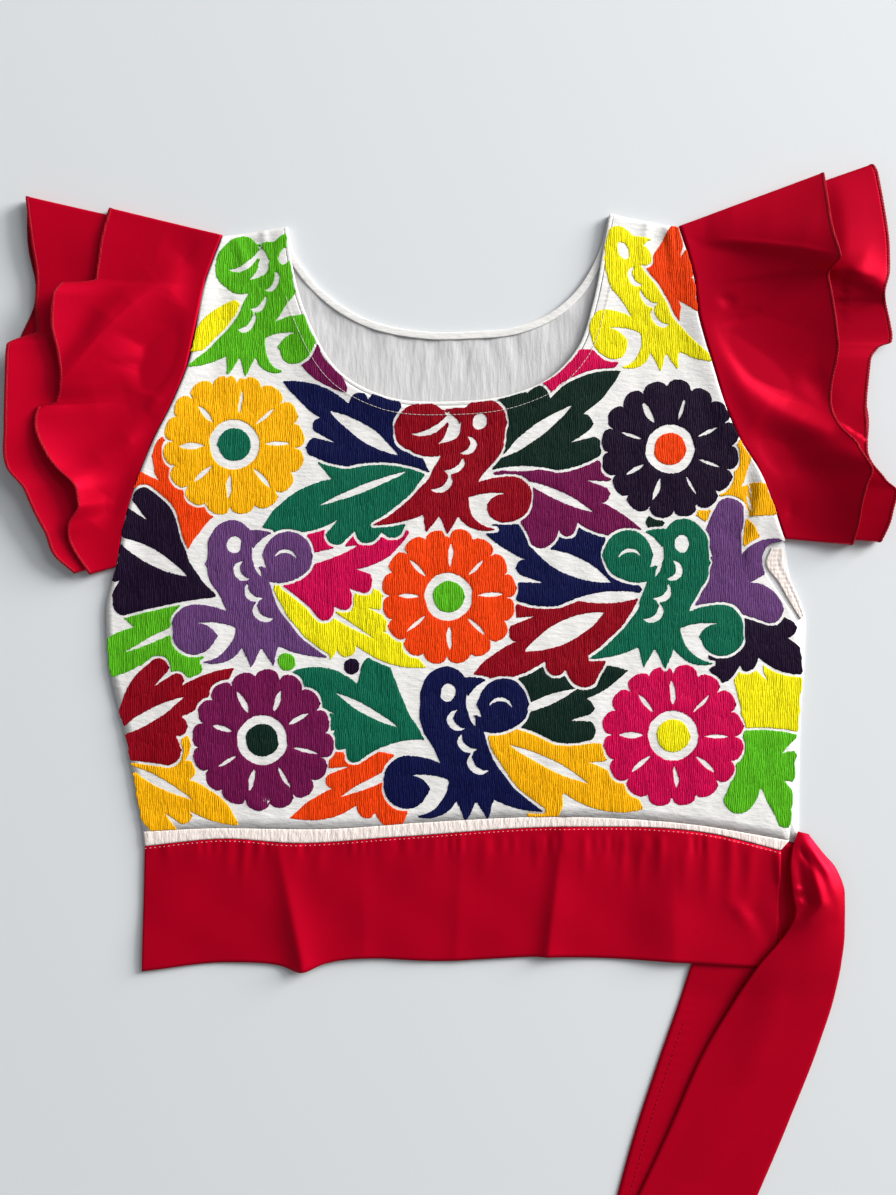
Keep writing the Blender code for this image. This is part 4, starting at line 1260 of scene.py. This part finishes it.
SHORT_LEAF = [
    # a wide leaf cut into fingers
    (0.00, 0.00, -0.10), (0.40, -0.36, 0.60), (0.60, -0.34, 0.35), (0.50, -0.12, 0.0),
    (0.86, -0.18, 0.7), (0.86, 0.00, 0.2), (0.58, 0.04, 0.0), (0.84, 0.26, 0.6), (0.66, 0.36, 0.3),
    (0.40, 0.14, 0.0), (0.36, 0.38, 0.6), (0.20, 0.34, -0.1),
]
BLADE = [(0.00, 0.00, 0.30), (1.00, 0.00, 0.38)]
BIRD = [
    # from the tail's tip: tail, two spikes, the sickle foot, the back, the head, the chest
    (-48, 6, 0.12), (-15, 14, 0.0), (-11, 0, 0.0), (-4, 13, 0.0), (4, -1, 0.0), (9, 13, 0.35),
    (37, 3, -0.38), (14, 26, 0.0), (19, 37, -0.06), (31, 57, 0.14), (33, 76, 0.42), (17, 100, 0.38),
    (2, 87, -0.08), (3, 73, 0.0), (-8, 58, 0.05), (-14, 41, -0.12),
]
BEAK = [(4, 93, 0.10), (-11, 91, -0.22), (2, 80, 0.0)]
CURL = [(13, 26, -0.15), (40, 29.5, 0.30), (27, 21, 1.0), (57, 25, 0.5), (38, 42, 0.12), (17, 36, 0.0)]
CREST = [(6, 74, -0.18), (-16, 66, 0.0), (-34, 66, 0.30), (-8, 58, 0.0)]
EYE = (5.2, 15.0, 83.0, 1.15)
CHEST = [
    # three crescents
    [(4, 60, 1.55), (8, 72, -0.75)],
    [(-5, 47, 1.10), (6, 57, -0.45)],
    [(-12, 33, 1.25), (-2, 45, -0.60)],
]
CRESTS = {
    # kind: the round tuft's radius, x, y, and its slits
    "curl": (16.5, -21.5, 75.5, [[(-8, 88, -0.55), (-4, 60, 0.22)], [(-28, 72, -0.95), (-12, 73, 0.62)]]),
    "lobe": (18.0, -24.0, 79.0, [[(-6, 92, -0.62), (-31, 74, 0.30)]]),
    "bare": (7.0, -1.0, 80.0, []),
}
DOT = [(-6, 0, 0.9), (5, 1, 1.05)]


def bird(crest):
    """A bird over its curled foot, with a curl or a round lobe for a crest."""
    radius, x, y, slits = CRESTS[crest]
    stem = [] if crest == "bare" else [CREST]
    added = [arcs(rows) for rows in (BIRD, BEAK, CURL, *stem)] + [circle(radius, x, y)]
    bare = [arcs(rows) for rows in (*slits, *CHEST)] + [circle(*EYE)]
    return [(1, outline) for outline in added] + [(-1, outline) for outline in bare]


def leaf(outline, slit):
    """A leaf with a bare vein: two arcs, as thick as `slit` says."""
    vein = arcs([(0.20, 0.01, slit), (0.68, 0.0, slit)])
    return [(1, arcs(outline))] + [(-1, vein)] * (slit > 0)


# %% [markdown]
# The thread colours, and where each motif lies. A leaf is given by its base and its tip, a flower
# by its middle and radius, a bird by its foot, its width and its lean. What comes first lies on
# top, and later motifs stop short of it, so the cotton shows between any two of them.

# %% Colours and places
THREADS = {
    "lime": (0.088, 0.41, 0.010), "yellow": (0.79, 0.70, 0.004), "orange": (0.80, 0.050, 0.002),
    "golden": (0.88, 0.42, 0.002), "teal": (0.003, 0.115, 0.062), "dark_green": (0.004, 0.018, 0.012),
    "navy": (0.003, 0.005, 0.050), "dark_purple": (0.010, 0.003, 0.017),
    "magenta": (0.148, 0.006, 0.062), "light_purple": (0.118, 0.045, 0.155),
    "dark_red": (0.25, 0.0005, 0.008), "pink": (0.54, 0.001, 0.066),
}
FLOWERS = [
    # petals, eye, x, y, radius
    ("golden", "teal", -146, 350, 48), ("dark_purple", "orange", 149, 347, 47),
    ("orange", "lime", -1, 247, 46), ("magenta", "dark_green", -127, 150, 48),
    ("pink", "yellow", 151, 153, 48),
]
BIRDS = [
    # colour, x, y of the foot, width (negative where it is mirrored), height, lean, crest
    ("lime", -142, 397, 0.80, 0.97, 0.22, "lobe"), ("yellow", 146, 400, -0.80, 0.98, 0.20, "bare"),
    ("dark_red", -5, 290, 1.0, 0.91, 0.12, "lobe"),
    ("light_purple", -131, 200, -1.0, 0.99, 0.0, "curl"),
    ("teal", 142, 199, 1.0, 1.01, 0.0, "curl"), ("navy", 14, 95, -1.03, 1.05, 0.0, "curl"),
]
LEAVES = [
    # colour, base x, y, tip x, y, width, thickness of the vein, chart, mirrored
    ("navy", -14, 331, -113, 393, 1.1, 0.17, LEAF, 1),
    ("teal", -4, 344, -128, 292, 1.0, 0.08, WING_LEAF, 1),
    ("dark_green", 12, 327, 116, 400, 1.2, 0.12, LEAF, -1),
    ("magenta", 28, 334, 131, 290, 1.2, 0.10, LEAF, 1),
    ("dark_purple", -157, 247, -262, 308, 1.3, 0.14, LEAF, -1),
    ("dark_red", -250, 138, -146, 199, 1.05, 0.14, LEAF, 1),
    ("lime", -146, 246, -256, 192, 1.0, 0.08, WING_LEAF, 1),
    ("pink", -136, 262, -27, 291, 1.3, 0.10, WING_LEAF, -1),
    ("yellow", -124, 259, -16, 199, 1.0, 0.06, LEAF, 1),
    ("navy", 132, 249, 20, 294, 1.2, 0.20, LEAF, 1),
    ("dark_red", 128, 246, 14, 193, 1.15, 0.22, LEAF, -1),
    ("light_purple", 161, 240, 228, 294, 1.3, 0.0, SHORT_LEAF, 1),
    ("dark_purple", 164, 248, 250, 196, 1.5, 0.0, LEAF, 1),
    ("teal", -16, 150, -107, 197, 1.2, 0.10, WING_LEAF, 1),
    ("orange", -4, 142, -108, 97, 1.1, 0.10, LEAF, -1),
    ("dark_green", 18, 160, 120, 197, 1.3, 0.10, LEAF, -1),
    ("golden", 16, 157, 132, 103, 1.0, 0.11, WING_LEAF, 1),
    ("golden", -240, 146, -143, 92, 1.2, 0.10, LEAF, -1),
    ("yellow", 199, 158, 262, 212, 1.2, 0.0, SHORT_LEAF, 1),
    ("lime", 194, 160, 244, 92, 1.1, 0.0, SHORT_LEAF, 1),
    ("yellow", -138, 447, -160, 486, 1.0, 0.0, BLADE, 1),
    ("yellow", -138, 450, -180, 412, 1.0, 0.0, BLADE, 1),
    ("orange", 129, 468, 186, 452, 1.7, 0.0, SHORT_LEAF, 1),
    ("pink", 116, 410, 44, 385, 1.3, 0.0, BLADE, 1),
    ("orange", -158, 303, -240, 322, 1.3, 0.0, SHORT_LEAF, 1),
    ("golden", 162, 304, 226, 325, 1.7, 0.0, SHORT_LEAF, 1),
    ("magenta", -70, 385, -110, 436, 1.0, 0.0, BLADE, 1),
]
DOTS = [("lime", -110, 202, 1.1), ("dark_purple", -66, 199, 1.0), ("dark_green", 139, 296, 1.1)]


def placed(parts, x, y, along=(1.0, 0.0), mirror=1, width=1.0):
    """A motif's outlines turned so that its own x runs `along`, scaled by its length, and moved."""
    ax, ay = along
    matrix = np.array([[ax, ay], [-ay * width * mirror, ax * width * mirror]])
    return [(sign, outline @ matrix + (x, y)) for sign, outline in parts]


def every_motif():
    """Colour and placed outlines, the topmost first."""
    for colour, x, y, width, height, lean, crest in BIRDS:
        shape = np.array([[width, 0.0], [lean * np.sign(width), height]])
        yield colour, [(sign, outline @ shape + (x, y)) for sign, outline in bird(crest)]
    for seed, (petals, eye, x, y, radius) in enumerate(FLOWERS):
        yield eye, placed([(1, circle(FLOWER_EYE * radius))], x, y)
        yield petals, placed(flower(radius, seed), x, y)
    for colour, x, y, size in DOTS:
        yield colour, placed([(1, arcs(DOT) * size)], x, y)
    for colour, x0, y0, x1, y1, width, vein, outline, mirror in LEAVES:
        yield colour, placed(leaf(outline, vein), x0, y0, (x1 - x0, y1 - y0), mirror, width)


# %% [markdown]
# Ruling the outlines. For every upright line the crossings with an outline are counted from below:
# an odd count is inside. The result is one map of which colour lies where, with a bare gap kept
# round each motif.

# %% The map of colours
RIB = 1.25
STEP = 0.25
GAP_ROWS = 7
GAP_COLUMNS = 2
RULED_X = np.arange(-242, 242, RIB / 2)
RULED_Y = np.arange(84, 508, STEP)


def inside(outline):
    """True where a ruled place lies inside a closed outline: an odd number of crossings below it."""
    x0, y0 = outline.T
    x1, y1 = np.roll(outline, -1, axis=0).T
    ruled = RULED_X[:, None]
    crosses = (x0 <= ruled) != (x1 <= ruled)
    column, side = np.nonzero(crosses)
    t = (RULED_X[column] - x0[side]) / (x1[side] - x0[side])
    y = y0[side] + t * (y1[side] - y0[side])
    row = np.clip(np.ceil((y - RULED_Y[0]) / STEP), 0, len(RULED_Y)).astype(int)
    toggles = np.zeros((len(RULED_X), len(RULED_Y) + 1), np.int16)
    np.add.at(toggles, (column, row), 1)
    return toggles.cumsum(axis=1)[:, :-1] % 2 == 1


def spread(mask):
    """The mask grown by the gap's rows and columns."""
    grown = mask.copy()
    for k in range(1, GAP_ROWS + 1):
        grown[:, k:] |= mask[:, :-k]
        grown[:, :-k] |= mask[:, k:]
    wide = grown.copy()
    for k in range(1, GAP_COLUMNS + 1):
        wide[k:] |= grown[:-k]
        wide[:-k] |= grown[k:]
    return wide


OUTLINE_POINTS = dict.fromkeys(PANEL_COLUMNS, 60)
front_outline = np.vstack(round_edge(SIDE_RIGHT, STRIP_TOP, OUTLINE_POINTS) + [edge_middle[::-1]])
free = inside(front_outline)
ink = np.full(free.shape, -1, np.int8)
colours = list(THREADS)
for colour, parts in every_motif():
    mask, bare = np.zeros(free.shape, bool), np.zeros(free.shape, bool)
    for sign, outline in parts:
        if sign > 0:
            mask |= inside(outline)
        else:
            bare |= inside(outline)
    mask &= free
    ink[mask & ~bare] = colours.index(colour)
    free &= ~spread(mask)

SCRAPS = [
    # colour, x from, x to, y from, y to: crumbs left where one motif cuts across another
    ("orange", -218, -215, 309, 313), ("lime", -212, -209, 197, 200), ("lime", -169, -154, 240, 246),
    ("lime", -162, -159, 226, 229), ("yellow", -162, -155, 472, 484), ("yellow", -146, -140, 448, 451),
    ("pink", -128, -126, 269, 271), ("yellow", -96, -82, 201, 206), ("orange", -18, -15, 124, 126),
    ("teal", -16, -10, 334, 340), ("orange", -16, -10, 138, 141), ("dark_green", 35, 37, 341, 343),
    ("dark_purple", 170, 172, 226, 228), ("dark_purple", 220, 223, 249, 252),
    ("dark_purple", 226, 232, 235, 244), ("yellow", 233, 236, 218, 221),
]
for colour, x_from, x_to, y_from, y_to in SCRAPS:
    patch = np.ix_((RULED_X > x_from) & (RULED_X < x_to), (RULED_Y > y_from) & (RULED_Y < y_to))
    ink[patch] = np.where(ink[patch] == colours.index(colour), -1, ink[patch])
print(f"embroidered: {np.mean(ink >= 0) * ink.size * RIB / 2 * STEP / 1e6:.3f} square metres")

# %% [markdown]
# From the map to thread. Every stretch of one colour on a ruled line is cut into stitches of up to
# 15 mm at uneven places. A stitch is a small closed rod, raised in the middle and dipping into the
# cloth at its ends, that follows the front with its creases. The rods are wider than their spacing,
# so they close up as packed threads do. Each has its own tone, and painted shade makes it darker at
# its two edges, in the groove between two, and a little lighter along its top. Each also wanders a
# little sideways together with its neighbours. Where a motif's edge runs at a slant, the end of the
# rod is cut at that slant too, which keeps a round petal round.

# %% Stitches
LONGEST = 15.0
SHORTEST = 0.8
RIB_WIDTH = 1.75
RIB_HEIGHT = 0.38
END_TAPER = 0.6
OVERLAP = 0.7
# painted shade: how dark a rod's edges are made, where the grooves between threads lie
PAINTED_GROOVE_SHADE = 0.80
MOST_LEAN = 8
LONGEST_LEAN, LEAN_SHARE = 4.0, 0.4
END_SHIFT = (-0.1, 0.3)
CUT_SHIFT, MOST_CUTS = 0.3, 64
PLUMPNESS, STRAND_SPREAD = (0.75, 1.2), 0.04
dice = np.random.default_rng(12)
padded = np.pad(ink, ((0, 0), (1, 1)), constant_values=-1)
starts = np.argwhere((padded[:, 1:-1] != padded[:, :-2]) & (padded[:, 1:-1] >= 0))
ends = np.argwhere((padded[:, 1:-1] != padded[:, 2:]) & (padded[:, 1:-1] >= 0))
starts, ends = starts[starts[:, 0] % 2 == 0], ends[ends[:, 0] % 2 == 0]


def lean(places, beside, way):
    """How far the motif's edge has moved half a rib to one side: out is in the direction of `way`."""
    column = np.clip(places[:, 0] + beside, 0, len(ink) - 1)
    colour = ink[places[:, 0], places[:, 1]]

    def same(k):
        return ink[column, np.clip(places[:, 1] + way * k, 0, ink.shape[1] - 1)] == colour

    out, short = same(0), ~same(0)
    rows = np.zeros(len(places))
    for k in range(MOST_LEAN):
        out = out & same(k + 1)
        short = short & ~same(-k)
        rows += out * 1.0 - short * 1.0
    return way * rows * STEP


low_lean = np.stack([lean(starts, -1, -1), lean(starts, 1, -1)], axis=1)
high_lean = np.stack([lean(ends, -1, 1), lean(ends, 1, 1)], axis=1)
run_x = RULED_X[starts[:, 0]]
run_low = RULED_Y[starts[:, 1]] - STEP / 2
run_high = RULED_Y[ends[:, 1]] + STEP / 2
run_colour = ink[starts[:, 0], starts[:, 1]]
keep = run_high - run_low > SHORTEST
run_x, run_low, run_high, run_colour = run_x[keep], run_low[keep], run_high[keep], run_colour[keep]
low_lean, high_lean = low_lean[keep], high_lean[keep]
run_low = run_low - dice.uniform(*END_SHIFT, len(run_low))
run_high = run_high + dice.uniform(*END_SHIFT, len(run_high))

# %% Runs cut into stitches
pieces_in = np.ceil((run_high - run_low) / LONGEST).astype(int)
of_run = np.repeat(np.arange(len(run_x)), pieces_in)
k = np.arange(len(of_run)) - np.repeat(np.cumsum(pieces_in) - pieces_in, pieces_in)
count = pieces_in[of_run]
shift_at = dice.uniform(-CUT_SHIFT, CUT_SHIFT, (len(run_x), MOST_CUTS))


def cut(k):
    """Where a run is cut: even places, each moved by a share of a stitch, but not the ends."""
    moved = np.where((k > 0) & (k < count), shift_at[of_run, k], 0.0)
    return run_low[of_run] + (run_high - run_low)[of_run] * (k + moved) / count


low_y = cut(k) - np.where(k > 0, OVERLAP, 0.0)
high_y = cut(k + 1) + np.where(k + 1 < count, OVERLAP, 0.0)
stitch_x, stitch_colour = run_x[of_run], run_colour[of_run]
length = high_y - low_y
taper = np.minimum(END_TAPER / length, 0.3)
start = np.zeros_like(taper)
stations = np.stack([start, taper, start + 0.33, start + 0.67, 1 - taper, start + 1], axis=1)
station_y = low_y[:, None] + length[:, None] * stations
height_share = np.array([0.5, 0.95, 1.0, 1.0, 0.95, 0.5])[None, :]
width_share = np.array([0.8, 1.0, 1.0, 1.0, 1.0, 0.8])[None, :]
slow = np.sin(station_y * 0.21 - stitch_x[:, None] * 0.03)
wander = 0.25 * np.sin(station_y * 0.45 + stitch_x[:, None] * 0.06) + 0.30 * slow
station_x = stitch_x[:, None] + wander
plump = dice.uniform(*PLUMPNESS, len(length))[:, None]
across = np.array([-0.5, -0.27, 0.27, 0.5]) * RIB_WIDTH
rise = np.array([-0.15, 1.0, 1.0, -0.15])
ring_x = station_x[..., None] + across * width_share[..., None]
half_way = np.clip(np.abs(across) / (RIB / 2), 0, 1)
most_back = LEAN_SHARE * length[:, None]


def slant(leans, at_end, lowest, highest):
    """How far each point round an end's ring is pushed up or down, to follow the motif's edge."""
    pushed = np.where(across < 0, leans[of_run, :1], leans[of_run, 1:]) * half_way
    return np.clip(np.where(at_end[:, None], pushed, 0.0), lowest, highest)[:, None]


ring_y = np.repeat(station_y[..., None], 4, axis=2)
ring_y[:, :2] += slant(low_lean, k == 0, -LONGEST_LEAN, most_back)
ring_y[:, 4:] += slant(high_lean, k + 1 == count, -most_back, LONGEST_LEAN)
surface = front_surface(station_x, station_y) + CLOTH / 2
ring_z = surface[..., None] + RIB_HEIGHT * rise * (height_share * plump)[..., None]
rings = np.stack([ring_x, ring_y, ring_z], axis=3)
strand = dice.normal(1.0, STRAND_SPREAD, len(length))
# painted shade round each rib: darker at its two edges, a little lighter along its top
rib_painted_shade = np.array([PAINTED_GROOVE_SHADE, 1.03, 1.03, PAINTED_GROOVE_SHADE])
print(len(length), "stitches")
for number, colour in enumerate(colours):
    mine = stitch_colour == number
    # each point's value: the stitch's own tone times the painted shade round its rib
    tone_and_painted_shade = (strand[mine, None, None] * np.ones((1, rings.shape[1], 1)) * rib_painted_shade).ravel()
    add_piece(f"embroidery_{colour}", tubes(rings[mine]), thread(f"{colour}_thread", THREADS[colour]),
              shade=tone_and_painted_shade)

# %% [markdown]
# ## Topstitching
# Machine stitches are short rods in a row, each sunk at both ends. One dark red row runs along the
# top of the waist strip, a pale row follows the front neckline through the embroidery, another shows
# as dots along the top of the band, and the tie's hem has a red one.

# %% Rows of machine stitches
STITCH_SIDES = 6
STITCH_RISE = [-0.6, 0.35, 0.6, 0.35, -0.6]


def stitch_row(line, height, length, gap, radius):
    """Rods along a line: half an oval wave up from the cloth and back into it."""
    along = running_length(line)
    first = np.arange(0, along[-1] - length, length + gap)
    share = np.linspace(0, 1, len(STITCH_RISE))
    at = first[:, None] + share * length
    x, y = (np.interp(at, along, line[:, axis]) for axis in (0, 1))
    dx, dy = np.gradient(x, axis=1), np.gradient(y, axis=1)
    size = np.hypot(dx, dy)
    turn = np.linspace(0, 2 * np.pi, STITCH_SIDES, endpoint=False)
    out, up = np.cos(turn) * radius, np.sin(turn) * radius
    level = height(x, y) + np.array(STITCH_RISE) * radius
    return tubes(np.stack([
        x[..., None] + (dy / size)[..., None] * out,
        y[..., None] - (dx / size)[..., None] * out,
        level[..., None] + up + np.zeros_like(x)[..., None],
    ], axis=3))


def add_stitches(name, material, line, height, **sizes):
    """A row of machine stitches as one piece."""
    rods = stitch_row(line, height, **sizes)
    return add_piece(name, rods, material, shade=np.ones(len(rods[0])))


RED_THREAD = thread("red_topstitch", (0.15, 0.025, 0.025))
WHITE_THREAD = thread("white_topstitch", (0.66, 0.60, 0.56))
line_at = np.linspace(0, 1, 400)
add_stitches("strip_topstitch", RED_THREAD, smooth_line(STRIP_TOP, line_at) + (0, -1.4),
             lambda x, y: strip_surface(x, y) + 0.2, length=2.6, gap=0.12, radius=0.2)
neck_stitch_line = offset_line(smooth_line(NECK_FRONT, np.linspace(0.12, 0.88, 500)), 9.0)
add_stitches("neck_topstitch", WHITE_THREAD, neck_stitch_line,
             lambda x, y: front_surface(x, y) + CLOTH / 2 + 0.52, length=2.5, gap=0.5, radius=0.16)
add_stitches("band_topstitch", WHITE_THREAD, smooth_line(STRIP_FOOT, line_at) + (0, -1.7),
             lambda x, y: band_surface(x, y) + SATIN / 2 + 0.05, length=0.9, gap=2.3, radius=0.16)
under_table = np.array(TIE_UNDER, float)
hem_rows = under_table[:, :2] * 0.9 + under_table[:, 2:4] * 0.1
add_stitches("tie_hem_topstitch", SERGING, smooth_line(hem_rows, np.linspace(0.3, 0.99, 400)), flat(1.0),
             length=2.6, gap=0.6, radius=0.22)

# %% [markdown]
# ## The table, the light and the camera
# The photo was taken from straight above in daylight that comes low from the upper right. A pale
# floor, a large soft lamp low on that side, a weaker one higher up and a plain pale world do the
# same. The camera looks straight down, a metre up, with the frame's long side upright.

# %% Floor, light and camera
floor_mesh = bpy.data.meshes.new("table_top")
FLOOR_REACH, FLOOR_COLOUR = 2.5, (0.66, 0.68, 0.69)
corners = [(x * FLOOR_REACH, y * FLOOR_REACH, 0) for x, y in ((-1, -1), (1, -1), (1, 1), (-1, 1))]
floor_mesh.from_pydata(corners, [], [(0, 1, 2, 3)])
table_top = bpy.data.objects.new("table_top", floor_mesh)
bpy.context.scene.collection.objects.link(table_top)
floor_material, floor_tree, floor_shader = new_material("pale_table", Roughness=0.75)
place = floor_tree.add("ShaderNodeTexCoord", output="Object")
cloudy = use_group(floor_tree, MOTTLE, UV=place, Size=0.9, Amount=0.01)
floor_tree.put(tinted(floor_tree, FLOOR_COLOUR, cloudy.outputs[0]), floor_shader.inputs["Base Color"])
floor_mesh.materials.append(floor_material)

middle = (cad_box[0] + cad_box[1]) / 2


def area_light(name, place, size, watts, colour):
    """A square lamp at a place, aimed at the middle of the blouse."""
    lamp = bpy.data.lights.new(name, "AREA")
    lamp.size, lamp.energy, lamp.color = size, watts, colour
    obj = bpy.data.objects.new(name, lamp)
    obj.location = place
    obj.rotation_euler = (middle - Vector(place)).to_track_quat("-Z", "Y").to_euler()
    bpy.context.scene.collection.objects.link(obj)


area_light("window", (5.9, 3.1, 2.25), 3.2, 845, (1.0, 0.99, 0.97))
area_light("sky", (4.2, 3.65, 4.5), 4.2, 255, (0.96, 0.98, 1.0))
bpy.context.scene.view_settings.view_transform = "Standard"
world = bpy.data.worlds.new("room")
world.use_nodes = True
background = world.node_tree.nodes["Background"].inputs
background["Color"].default_value = (0.93, 0.96, 1.0, 1.0)
background["Strength"].default_value = 0.28
bpy.context.scene.world = world

PHOTO_WIDTH, PHOTO_HEIGHT = 896, 1195
SEEN_WIDTH, CAMERA_UP, SENSOR = 0.6093, 1.0, 36
SEEN_HEIGHT = SEEN_WIDTH * PHOTO_HEIGHT / PHOTO_WIDTH
VIEW_MIDDLE = (-0.00136, 0.2465)
camera_data = bpy.data.cameras.new("camera")
camera_data.sensor_fit = "AUTO"
camera_data.sensor_width = SENSOR
camera_data.lens = SENSOR * CAMERA_UP / SEEN_HEIGHT
camera = bpy.data.objects.new("camera", camera_data)
camera.location = (SHIFT[0] * MM + VIEW_MIDDLE[0], SHIFT[1] * MM + VIEW_MIDDLE[1], CAMERA_UP)
bpy.context.scene.collection.objects.link(camera)
bpy.context.scene.camera = camera
